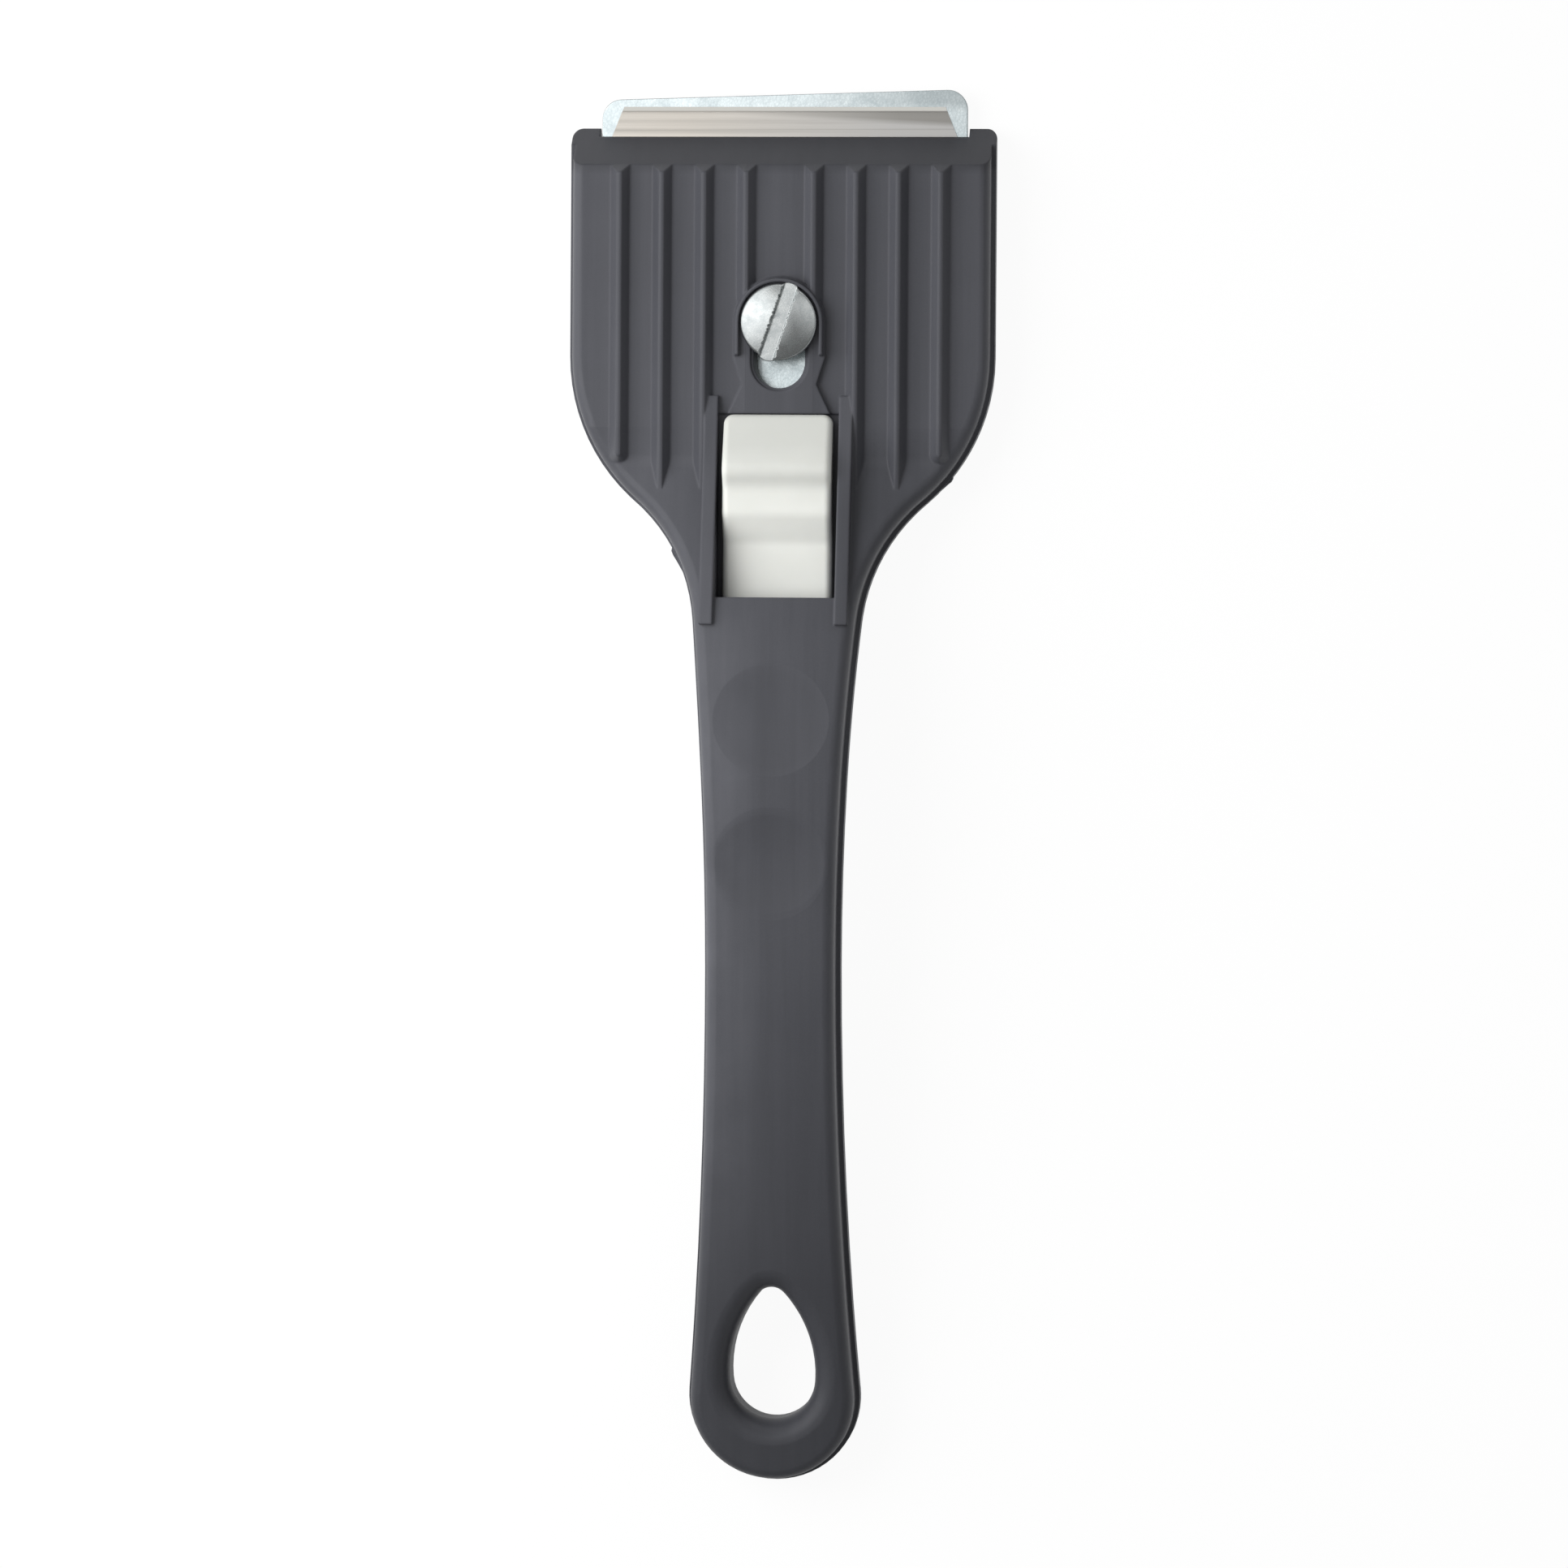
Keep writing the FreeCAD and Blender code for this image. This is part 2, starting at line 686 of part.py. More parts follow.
def cut_front_dimple(body):
    """Shallow round thumb rest, cut into the tight crown by a sweep that follows it loosely."""
    arch = size("crown_radius")
    depth = size("front_dimple_depth")
    half = size("front_dimple_width") / 2
    reach = size("front_dimple_length") / 2
    lean = (size("front_dimple_station") - size("crown_station")) / arch
    upright = root(as_size(1) - lean * lean)
    sweep = arch * reach * reach / (reach * reach - depth * arch * 2)
    bend = half * half / (depth * 2)
    side = half + margin
    low = sweep - depth
    rise = low + bend - root(bend * bend - side * side)
    tool = Outline(body, "front_dimple", "XZ_Plane")
    tool.chain([(-side, rise), (side, rise), (side, low + margin), (-side, low + margin)], {0: bend})
    tool.sketch.AttachmentOffset = FreeCAD.Placement(vector(0, 0, 0), FreeCAD.Rotation(vector(1, 0, 0), -1.0))
    down = arch - sweep
    tool.sketch.setExpression("AttachmentOffset.Base.y", (size("crown_height") - arch + down * upright).text)
    tool.sketch.setExpression("AttachmentOffset.Base.z", (-size("crown_station") - down * lean).text)
    tool.sketch.setExpression("AttachmentOffset.Rotation.Angle", "asin(%s)" % (-lean).text)
    groove = body.newObject("PartDesign::Groove", "front_dimple_groove")
    groove.Profile = tool.sketch
    groove.ReferenceAxis = (tool.sketch, ["H_Axis"])
    groove.Midplane = True
    groove.setExpression("Angle", "%s * 1 rad" % ((reach + margin) * 2 / sweep).text)
    doc.recompute()
    tool.sketch.Visibility = False


def cut_rear_dimple(body):
    """Second thumb rest, pressed by a large ball into the flat of the back."""
    arch = size("back_radius")
    radius = size("rear_dimple_radius")
    lean = (size("rear_dimple_station") - size("crown_station")) / arch
    upright = root(as_size(1) - lean * lean)
    reach = arch + radius - size("rear_dimple_depth")
    ball = body.newObject("PartDesign::SubtractiveSphere", "rear_dimple")
    ball.setExpression("Radius", radius.text)
    ball.setExpression("Placement.Base.y", (size("crown_station") + reach * lean).text)
    ball.setExpression("Placement.Base.z", (size("crown_height") - arch + reach * upright).text)
    doc.recompute()


def cut_hanging_hole(body):
    """Egg-shaped hanging hole with rounded rims."""
    flank = size("hole_flank_radius")
    big = size("hole_radius")
    small = size("hole_tip_radius")
    span = size("hole_length")
    big_y = tail_y + size("hole_setback")
    small_y = big_y + span
    big_reach = flank - big
    small_reach = flank - small
    up = (big_reach * big_reach - small_reach * small_reach + span * span) / (span * 2)
    out = root(big_reach * big_reach - up * up)
    big_x = out * flank / big_reach - out
    big_touch = big_y + up - up * flank / big_reach
    small_x = out * flank / small_reach - out
    small_touch = big_y + up + (span - up) * flank / small_reach
    hole = Outline(body, "hanging_hole", "XY_Plane")
    hole.chain([(big_x, big_touch), (small_x, small_touch), (-small_x, small_touch), (-big_x, big_touch)],
               {0: flank, 1: small, 2: flank, 3: big})
    hole.pocket(above, reverse=True)

    def near_hole(edge):
        middle = middle_of(edge)
        inside = abs(middle.x) < big.value + NEAR
        return inside and big_y.value - big.value - NEAR < middle.y < small_y.value + small.value + NEAR

    def upper_rim(edge):
        middle = middle_of(edge)
        return near_hole(edge) and abs(middle.z - skin_height(middle.y, land.value, 0.0)) < NEAR

    def lower_rim(edge):
        middle = middle_of(edge)
        level = max(skin_height(middle.y, 0.0, size("grip_thickness").value), 0.0)
        return near_hole(edge) and abs(middle.z - level) < NEAR

    round_edges(body, "hole_rim", size("hole_round"), upper_rim)
    round_edges(body, "hole_under_rim", size("hole_under_round"), lower_rim)


def skin_height(y, level, depth):
    """Height of one arched skin at a station, as arch_points draws it."""
    points, _ = arch_points(as_size(level), as_size(depth))
    angle = math.radians(size("ramp_angle").value)
    top = size("crown_height").value - depth
    crown_y = size("crown_station").value
    ramp_y, ramp_z = points[3][0].value, points[3][1].value
    if y < crown_y:
        back = size("back_radius").value - depth
        return top - back + math.sqrt(back ** 2 - (crown_y - y) ** 2)
    if y < ramp_y:
        crown = size("crown_radius").value - depth
        return top - crown + math.sqrt(crown ** 2 - (y - crown_y) ** 2)
    if y < points[2][0].value:
        return ramp_z - (y - ramp_y) * math.tan(angle)
    if y < points[1][0].value:
        blend = size("ramp_blend").value
        return level + blend - math.sqrt(blend ** 2 - (points[1][0].value - y) ** 2)
    return level


def make_blade():
    """Thin blade with clipped corners and a ground cutting edge, held by two pegs."""
    body = new_body("scraper_blade")
    half = half_plate - size("blade_side_inset")
    edge_half = half - size("blade_clip_width")
    front = lip + size("blade_reach")
    rear = front - size("blade_depth")
    clip = front - size("blade_clip_length")
    plan = Outline(body, "blade_plan", "XY_Plane", blade_bottom)
    edge_points = [(edge_half, front), (-edge_half, front)]
    plan.chain(edge_points + [(-half, clip), (-half, rear), (half, rear), (half, clip)])
    plan.circle(peg_x, peg_y, size("peg_radius") + size("peg_fit"))
    plan.circle(-peg_x, peg_y, size("peg_radius") + size("peg_fit"))
    plan.pad(size("blade_thickness"))
    top = blade_bottom + size("blade_thickness")
    grind = Outline(body, "grind", "YZ_Plane")
    edge = blade_bottom + size("blade_edge")
    land_y = front - size("blade_bevel")
    grind.chain([
        (front, edge), (front + margin, edge), (front + margin, top + margin),
        (land_y, top + margin), (land_y, top),
    ])
    grind.pocket(across, symmetric=True)
    return body


def make_plate():
    """Sheet guard with a tongue for the slider and slots that clear the blade pegs."""
    body = new_body("guard_plate")
    front = lip + size("plate_reach")
    corner = size("plate_corner_radius")
    rear = size("plate_rear_station")
    rear_corner = size("plate_rear_radius")
    tongue = size("stem_width") / 2
    tongue_rear = size("tongue_rear_station")
    plan = Outline(body, "plate_plan", "XY_Plane", size("plate_bottom"))
    left_front = front - size("plate_slant")
    plan.chain([
        (half_plate, front - corner), (half_plate - corner, front),
        (-half_plate + corner, left_front), (-half_plate, left_front - corner),
        (-half_plate, rear + rear_corner), (-half_plate + rear_corner, rear),
        (-tongue, rear), (-tongue, tongue_rear), (tongue, tongue_rear), (tongue, rear),
        (half_plate - rear_corner, rear), (half_plate, rear + rear_corner),
    ], {0: corner, 2: corner, 4: rear_corner, 10: rear_corner})
    plan.circle(0, screw_y, size("bush_spigot_radius") + size("rivet_gap"))
    slot_half = size("peg_radius") + size("peg_gap")
    for sign in (1, -1):
        plan.obround(peg_x * sign, peg_y, peg_y + travel, slot_half)
    hole_half = size("leg_width") / 2 + size("leg_gap")
    hole_reach = size("leg_spread") / 2 + size("leg_gap")
    leg_y = size("leg_station")
    plan.rectangle(hole_half, leg_y - hole_reach, leg_y + hole_reach)
    plan.pad(size("plate_thickness"))

    def tongue_corner(edge):
        middle = edge.CenterOfMass
        upright = abs(edge.tangentAt(edge.FirstParameter).z) > 0.9
        return upright and abs(abs(middle.x) - tongue.value) < NEAR

    round_edges(body, "tongue_rounding", size("tongue_root_radius"), tongue_corner)
    return body


def make_bush():
    """Threaded bush riveted into the plate, which runs in the guide slot."""
    body = new_body("guide_bush")
    bore = size("thread_radius") + size("thread_gap")
    under = size("plate_bottom") - size("rivet_gap")
    over = plate_top + size("rivet_gap")
    top = size("boss_height") + size("head_lift")
    profile = Outline(body, "bush_profile", "XZ_Plane")
    profile.chain([
        (bore, under - size("bush_flange_thickness")),
        (size("bush_flange_radius"), under - size("bush_flange_thickness")),
        (size("bush_flange_radius"), under), (size("bush_spigot_radius"), under),
        (size("bush_spigot_radius"), over), (size("bush_radius"), over),
        (size("bush_radius"), top), (bore, top),
    ])
    profile.revolve()
    body.setExpression("Placement.Base.y", screw_y.text)
    return body


def make_screw():
    """Slotted pan-head screw that clamps on the bush and slides along the boss."""
    body = new_body("guide_screw")
    shank = size("thread_radius")
    tip = size("screw_tip_height")
    chamfer = size("screw_tip_chamfer")
    under = size("boss_height") + size("head_lift") + size("rivet_gap")
    rim = size("screw_head_radius")
    dome = size("screw_head_height") - size("screw_head_rim")
    dome_radius = (rim * rim + dome * dome) / (dome * 2)
    top = under + size("screw_head_height")
    profile = Outline(body, "screw_profile", "XZ_Plane")
    profile.chain([
        (0, tip), (shank - chamfer, tip), (shank, tip + chamfer), (shank, under), (rim, under),
        (rim, under + size("screw_head_rim")), (0, top),
    ], {5: dome_radius})
    profile.revolve()

    def head_rim(edge):
        box = edge.BoundBox
        level = under.value + size("screw_head_rim").value
        level_ring = abs(box.ZMin - level) < NEAR and abs(box.ZMax - level) < NEAR
        return level_ring and abs(box.XMax - rim.value) < NEAR

    round_edges(body, "screw_head_rounding", size("screw_head_round"), head_rim)
    angle = size("screw_slot_angle")
    along_x = trig("sin", angle) * (rim + margin)
    along_y = trig("cos", angle) * (rim + margin)
    across_x = trig("cos", angle) * (size("screw_slot_width") / 2)
    across_y = trig("sin", angle) * (size("screw_slot_width") / 2)
    slot = Outline(body, "screw_slot", "XY_Plane", top)
    slot.chain([
        (along_x + across_x, along_y - across_y), (along_x - across_x, along_y + across_y),
        (-along_x - across_x, across_y - along_y), (across_x - along_x, -along_y - across_y),
    ])
    slot.pocket(size("screw_slot_depth"))
    body.setExpression("Placement.Base.y", screw_y.text)
    return body


def make_slider():
    """Thumb slider with two waves, a tail that runs under the handle skin, a stem and two snap legs."""
    body = new_body("thumb_slider")
    front = size("slider_front_station")
    flat = size("slider_flat_height")
    rear = size("slider_rear_station")
    base = blade_bottom
    profile = Outline(body, "slider_profile", "YZ_Plane")
    profile.chain([
        (rear, slider_underside), (front, slider_underside), (front, size("slider_front_height")),
        (size("slider_crest_station"), size("slider_crest_height")),
        (size("slider_valley_station"), size("slider_valley_height")),
        (size("slider_second_station"), size("slider_second_height")),
        (size("slider_flat_station"), flat), (rear, flat),
    ])
    profile.pad(size("slider_width"), symmetric=True)

    def wave(edge):
        middle = edge.CenterOfMass
        crosswise = abs(edge.tangentAt(edge.FirstParameter).x) > 0.9
        ahead = size("slider_flat_station").value - NEAR < middle.y < stem_front.value
        return crosswise and ahead and middle.z > flat.value - NEAR

    round_edges(body, "wave_rounding", size("slider_wave_round"), wave)
    half = size("slider_width").value / 2
    corner = size("slider_corner_round")

    def front_corner(edge):
        middle = middle_of(edge)
        return abs(abs(middle.x) - half) < NEAR and abs(middle.y - front.value) < NEAR

    round_edges(body, "slider_corners", corner, front_corner)

    def upper_rim(edge):
        middle = middle_of(edge)
        outside = abs(abs(middle.x) - half) < NEAR or middle.y > front.value - corner.value + NEAR
        return outside and middle.z > size("slider_front_height").value - NEAR

    round_edges(body, "slider_rounding", size("slider_edge_round"), upper_rim)
    stem = Outline(body, "stem", "XY_Plane", base)
    stem.rectangle(size("stem_width") / 2, stem_rear, stem_front)
    stem.pad(slider_underside + size("slider_tail_thickness") / 2 - base)
    reach = size("leg_spread") / 2
    inner = reach - size("leg_thickness")
    hook = reach + size("hook_reach")
    hook_top = size("plate_bottom") - size("leg_gap")
    hook_low = hook_top - size("hook_height")
    leg_y = size("leg_station")
    legs = Outline(body, "legs", "YZ_Plane")
    for sign in (1, -1):
        legs.chain([
            (leg_y + inner * sign, base), (leg_y + inner * sign, hook_low), (leg_y + reach * sign, hook_low),
            (leg_y + hook * sign, hook_top), (leg_y + reach * sign, hook_top), (leg_y + reach * sign, base),
        ])
    legs.pad(size("leg_width"), symmetric=True)
    return body


pieces = [make_handle(), make_blade(), make_plate(), make_bush(), make_screw(), make_slider()]
doc.recompute()
for item in doc.Objects:
    if "Invalid" in item.State or "Error" in item.State:
        raise ValueError("%s did not build" % item.Name)
os.makedirs("parts", exist_ok=True)
for piece in pieces:
    if piece.Shape.isNull() or not piece.Shape.isValid() or len(piece.Shape.Solids) != 1:
        raise ValueError("%s is not one sound solid" % piece.Label)
    piece.Shape.exportStep("parts/%s.step" % piece.Label)
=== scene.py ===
"""Looks of a ceramic hob scraper: moulded handle, ground blade, zinc guard, screw and thumb slider."""

import math

import bmesh
import bpy
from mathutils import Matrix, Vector


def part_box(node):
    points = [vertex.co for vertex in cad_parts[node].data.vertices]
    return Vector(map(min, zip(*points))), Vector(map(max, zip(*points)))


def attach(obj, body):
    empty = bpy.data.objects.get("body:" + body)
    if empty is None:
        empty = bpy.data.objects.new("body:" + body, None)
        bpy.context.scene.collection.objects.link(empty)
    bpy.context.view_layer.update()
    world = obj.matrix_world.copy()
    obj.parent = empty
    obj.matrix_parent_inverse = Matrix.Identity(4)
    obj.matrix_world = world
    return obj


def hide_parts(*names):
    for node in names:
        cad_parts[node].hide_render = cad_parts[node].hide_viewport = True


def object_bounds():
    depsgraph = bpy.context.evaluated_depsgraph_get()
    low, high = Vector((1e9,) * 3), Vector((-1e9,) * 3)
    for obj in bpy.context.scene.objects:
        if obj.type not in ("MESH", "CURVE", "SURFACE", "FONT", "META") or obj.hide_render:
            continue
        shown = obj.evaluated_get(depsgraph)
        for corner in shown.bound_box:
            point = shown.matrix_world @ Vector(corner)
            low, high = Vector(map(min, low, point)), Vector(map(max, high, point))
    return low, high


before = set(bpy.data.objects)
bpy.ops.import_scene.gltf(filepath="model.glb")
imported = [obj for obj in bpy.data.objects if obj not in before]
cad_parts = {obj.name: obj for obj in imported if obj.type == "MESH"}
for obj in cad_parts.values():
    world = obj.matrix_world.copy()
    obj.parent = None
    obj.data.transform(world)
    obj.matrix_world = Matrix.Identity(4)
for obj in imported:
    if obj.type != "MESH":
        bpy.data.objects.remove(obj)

bl_info = {
    "name": "Hob Scraper Looks",
    "version": (1, 0, 0),
    "blender": (4, 5, 0),
    "location": "View3D > Sidebar > Scraper",
    "description": "Finishes, screw detail and studio of a ceramic hob scraper",
    "category": "Object",
}

CAD_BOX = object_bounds()
SCREW_LOW, SCREW_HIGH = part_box("guide_screw")
CUTTING_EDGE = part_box("scraper_blade")[1].y
MM = 0.001

# Form of the moulding
RIB_OFFSET = 4.15 * MM
RIB_PITCH = 5.2 * MM
GRIP_TO_HEAD = (18.0 * MM, 44.0 * MM)
FLUTED_ALONG = (37.0 * MM, 41.0 * MM, 75.2 * MM, 76.2 * MM)
DIMPLE_STATIONS = (8.3 * MM, -9.2 * MM)
DIMPLE_HALF_WIDTH = 7.1 * MM
DIMPLE_HALF_LENGTH = 6.9 * MM
# Brim of the dimple mask, which also bounds the painted shade in the dimples
DIMPLE_BRIM = (1.12, 0.66)

# Places of painted sheen and painted shade on the handle, the slider and the sheet: two stops fade a
# place in, two more fade it out
# Painted sheen: the left of the grip is lightened as if the softbox gleamed on it
SHEEN_ALONG = (-64.0 * MM, -46.0 * MM, 10.0 * MM, 22.0 * MM)
SHEEN_ASIDE = (-1.0 * MM, -5.0 * MM)
# Painted shade: the tail darkens where it turns away from the light
TAIL_SHADE_ALONG = (-22.0 * MM, -62.0 * MM)
# Painted shade on the front band of the head, which faces away from the light
BEVEL_SHADE_ALONG = (75.0 * MM, 76.4 * MM)
# Painted shade on the right of the neck, away from the light at the left
NECK_SHADE_ALONG = (12.0 * MM, 22.0 * MM, 34.0 * MM, 44.0 * MM)
NECK_SHADE_ASIDE = (6.5 * MM, 9.5 * MM)
# Painted shade on the slider's front slope
SLOPE_SHADE_ALONG = (33.0 * MM, 42.0 * MM)
# Painted shade over the front right of the sheet
SHEET_SHADE_ALONG = (82.8 * MM, 84.2 * MM)
SHEET_SHADE_ASIDE = (2.0 * MM, 18.0 * MM)

# Stretch of the noise that draws marks along the handle, and of the broad bands across the blade
DRAWN_SCALE = (620.0, 22.0, 180.0)
BAND_SCALE = (0.5, 0.25, 0.25)

# Stations of the mould flash in mm: place on the wall and how far it stands proud
FLASH = {
    "left_flash": {
        "stations": [(-13.27, 29.3, 0.0), (-13.10, 29.0, 0.28), (-12.83, 28.5, 0.34),
                     (-12.33, 27.5, 0.24), (-11.85, 26.4, 0.12), (-11.51, 25.5, 0.0)],
        "out": (-0.887, -0.461, 0.0), "low": 4.2, "high": 5.2, "sunk": 0.3,
    },
    "right_flash": {
        "stations": [(21.15, 38.2, 0.0), (20.98, 38.0, 0.16), (20.73, 37.7, 0.22),
                     (20.39, 37.3, 0.12), (19.80, 36.6, 0.0)],
        "out": (0.767, -0.641, 0.0), "low": 1.6, "high": 3.0, "sunk": 0.3,
    },
}
FLASH_ROUND = 0.05 * MM
FLASH_CREASE = math.radians(50.0)

# Screw: steps of its turning, small sizes and the greyer tone of its plating
TURN_STEPS = 96
DOME_STEPS = 14
TIP_CHAMFER = 0.4 * MM
RIM_ROUND = 0.22 * MM
RIM_FOOT = 0.65 * MM
BURR_HALF_WIDTH = 1.15 * MM
BURR_START = 0.78
SCREW_CREASE = math.radians(38.0)
SCREW_TINT = (0.77, 0.73, 0.715)
NEAR = 1e-6
NEARER = 1e-7

# Patches of the room in reflections: the directions in which they fade in and out, and their level
ROOM = {
    "panel": {"x": (0.12, -0.12), "y": (-0.26, -0.04, 0.22, 0.50), "level": 1.3},
    "wide": {"x": (-0.12, -0.30), "y": (-0.50, -0.20, 0.50, 0.80), "z": (0.25, 0.45), "level": 1.2},
    "front": {"y": (0.62, 0.74), "z": (0.30, 0.45), "level": 0.9},
    "ring": {"y": (-0.25, 0.20, 0.35, 0.55), "z": (0.50, 0.72, 0.94, 0.985), "level": 0.85},
    "wall": {"x": (0.05, 0.35), "z": (0.55, 0.20), "level": 0.42},
}
ROOM_BASE = 0.18
WALL_FILL = 0.3

# Floor and camera
WHITE = (1.0, 1.0, 1.0, 1.0)
PAPER = (0.9, 0.9, 0.9, 1.0)
FLOOR_GAP = 0.2 * MM
FLOOR_GLOW = 1.02
FLOOR_SEEN = 0.92
FLOOR_MIRRORED = 0.5
SENSOR = 36.0
NEAREST = 0.05
CAMERA_TURN = [math.radians(angle) for angle in (-1.31, 5.15, 0.39)]
CAMERA_AIM = Vector((0.75, 0.30, 5.0)) * MM


# Property groups

class ScraperFinish(bpy.types.PropertyGroup):
    """Colours and surface values of the scraper's materials."""

    plastic: bpy.props.FloatVectorProperty(
        name="Grey plastic", description="Colour of the moulded handle",
        subtype="COLOR", default=(0.0665, 0.068, 0.078), min=0.0, max=1.0)
    # Lighter colour of the cloudy tone and the polished edges, also used for the painted sheen and the
    # painted edge highlight
    plastic_worn_and_sheen: bpy.props.FloatVectorProperty(
        name="Worn plastic", description="Colour of the handle where use has polished it",
        subtype="COLOR", default=(0.102, 0.104, 0.118), min=0.0, max=1.0)
    # Colour of painted shade on the tail, the front band, the right of the neck and the thumb dimples
    plastic_shade: bpy.props.FloatVectorProperty(
        name="Dull plastic", description="Colour of the handle where hands and soil have darkened it",
        subtype="COLOR", default=(0.033, 0.034, 0.039), min=0.0, max=1.0)
    slider: bpy.props.FloatVectorProperty(
        name="White plastic", description="Colour of the thumb slider",
        subtype="COLOR", default=(0.85, 0.86, 0.815), min=0.0, max=1.0)
    # Colour of the slider's cloudy tone and of the painted shade on its front slope
    slider_tone_and_shade: bpy.props.FloatVectorProperty(
        name="Handled white", description="Colour of the slider where the thumb has soiled it",
        subtype="COLOR", default=(0.67, 0.68, 0.642), min=0.0, max=1.0)
    zinc: bpy.props.FloatVectorProperty(
        name="Zinc", description="Colour of the zinc plating",
        subtype="COLOR", default=(0.74, 0.805, 0.815), min=0.0, max=1.0)
    zinc_dull: bpy.props.FloatVectorProperty(
        name="Dull zinc", description="Colour of the plating where it has dulled",
        subtype="COLOR", default=(0.56, 0.63, 0.65), min=0.0, max=1.0)
    blade: bpy.props.FloatVectorProperty(
        name="Blade steel", description="Colour of the blade",
        subtype="COLOR", default=(0.58, 0.545, 0.495), min=0.0, max=1.0)
    blade_edge: bpy.props.FloatVectorProperty(
        name="Ground edge", description="Colour of the freshly ground cutting edge",
        subtype="COLOR", default=(0.74, 0.73, 0.69), min=0.0, max=1.0)
    # Colour of the rolled streaks and scratch, and of the painted shade wedge behind the edge
    blade_streak_and_shade: bpy.props.FloatVectorProperty(
        name="Blade streak and shade", description="Colour of the rolled streaks in the blade",
        subtype="COLOR", default=(0.27, 0.26, 0.24), min=0.0, max=1.0)
    edge_softness: bpy.props.FloatProperty(
        name="Edge softness", description="Rounding of the moulded edges",
        subtype="DISTANCE", unit="LENGTH", default=0.4 * MM, min=0.0)
    grip_camber: bpy.props.FloatProperty(
        name="Grip camber", description="Radius of the slight rounding across the grip",
        subtype="DISTANCE", unit="LENGTH", default=0.075, min=0.01)
    head_camber: bpy.props.FloatProperty(
        name="Head camber", description="Radius of the slight rounding across the head",
        subtype="DISTANCE", unit="LENGTH", default=0.40, min=0.01)
    flute_radius: bpy.props.FloatProperty(
        name="Flute radius", description="Radius of the shallow hollows between the ribs",
        subtype="DISTANCE", unit="LENGTH", default=0.028, min=0.001)
    dimple_bend: bpy.props.FloatProperty(
        name="Dimple hollow", description="How much deeper than cut the thumb dimples look",
        subtype="DISTANCE", unit="LENGTH", default=0.22 * MM, min=0.0)
    sheet_bow: bpy.props.FloatProperty(
        name="Sheet bow", description="Radius to which plate and blade are bowed",
        subtype="DISTANCE", unit="LENGTH", default=1.0, min=0.01)


class ScraperScrew(bpy.types.PropertyGroup):
    """Sizes of the slotted screw."""

    slot_width: bpy.props.FloatProperty(
        name="Slot width", description="Width of the driver slot",
        subtype="DISTANCE", unit="LENGTH", default=1.6 * MM, min=0.0)
    slot_depth: bpy.props.FloatProperty(
        name="Slot depth", description="Depth of the driver slot",
        subtype="DISTANCE", unit="LENGTH", default=1.1 * MM, min=0.0)
    slot_angle: bpy.props.FloatProperty(
        name="Slot angle", description="Turn of the slot, clockwise from the handle's length",
        subtype="ANGLE", unit="ROTATION", default=math.radians(18.9))
    shoulder: bpy.props.FloatProperty(
        name="Slot shoulder", description="Width of the slope beside the slot",
        subtype="DISTANCE", unit="LENGTH", default=0.28 * MM, min=0.0)
    burr: bpy.props.FloatProperty(
        name="Slot burr", description="How far metal is pushed out at the slot's ends",
        subtype="DISTANCE", unit="LENGTH", default=0.36 * MM, min=0.0)
    rim_height: bpy.props.FloatProperty(
        name="Head rim", description="Height of the upright rim of the head",
        subtype="DISTANCE", unit="LENGTH", default=1.0 * MM, min=0.0)
    head_height: bpy.props.FloatProperty(
        name="Head height", description="Height of the whole head",
        subtype="DISTANCE", unit="LENGTH", default=1.7 * MM, min=0.0)
    shank_radius: bpy.props.FloatProperty(
        name="Shank radius", description="Radius of the threaded shank",
        subtype="DISTANCE", unit="LENGTH", default=2.45 * MM, min=0.0)


class ScraperStage(bpy.types.PropertyGroup):
    """Floor, light and camera."""

    floor_size: bpy.props.FloatProperty(
        name="Floor size", description="Side of the pale floor",
        subtype="DISTANCE", unit="LENGTH", default=4.0, min=0.5)
    key_power: bpy.props.FloatProperty(
        name="Softbox power", description="Power of the softbox at the upper left",
        subtype="POWER", unit="POWER", default=1.0, min=0.0)
    key_size: bpy.props.FloatProperty(
        name="Softbox size", description="Side of the square softbox",
        subtype="DISTANCE", unit="LENGTH", default=0.26, min=0.01)
    key_place: bpy.props.FloatVectorProperty(
        name="Softbox place", description="Middle of the softbox",
        subtype="TRANSLATION", unit="LENGTH", default=(-0.21, 0.07, 0.19))
    ambient: bpy.props.FloatProperty(
        name="Ambient level", description="Level of the light from all round", default=0.34, min=0.0)
    distance: bpy.props.FloatProperty(
        name="Camera distance", description="Distance of the camera from the scraper",
        subtype="DISTANCE", unit="LENGTH", default=0.906, min=0.1)
    lens: bpy.props.FloatProperty(
        name="Lens", description="Focal length on a 36 mm sensor",
        subtype="DISTANCE_CAMERA", unit="CAMERA", default=169.2, min=1.0)


# Node helpers

def put(tree, kind, inputs=None, **settings):
    """Add one node; an input is set to a value, or linked where it is a socket."""
    made = tree.nodes.new(kind)
    for name, value in settings.items():
        setattr(made, name, value)
    for name, value in (inputs or {}).items():
        if isinstance(value, bpy.types.NodeSocket):
            tree.links.new(value, made.inputs[name])
        else:
            made.inputs[name].default_value = value
    return made


def math_of(tree, operation, *values, clamp=False):
    """One step of arithmetic."""
    made = put(tree, "ShaderNodeMath", dict(enumerate(values)), operation=operation, use_clamp=clamp)
    return made.outputs[0]


def times(tree, product, *factors):
    """Multiply values."""
    for factor in factors:
        product = math_of(tree, "MULTIPLY", product, factor)
    return product


def total(tree, *values, clamp=False):
    """Add values, and hold the sum from 0 to 1 if asked."""
    added = values[0]
    for value in values[1:-1]:
        added = math_of(tree, "ADD", added, value)
    return math_of(tree, "ADD", added, values[-1], clamp=clamp)


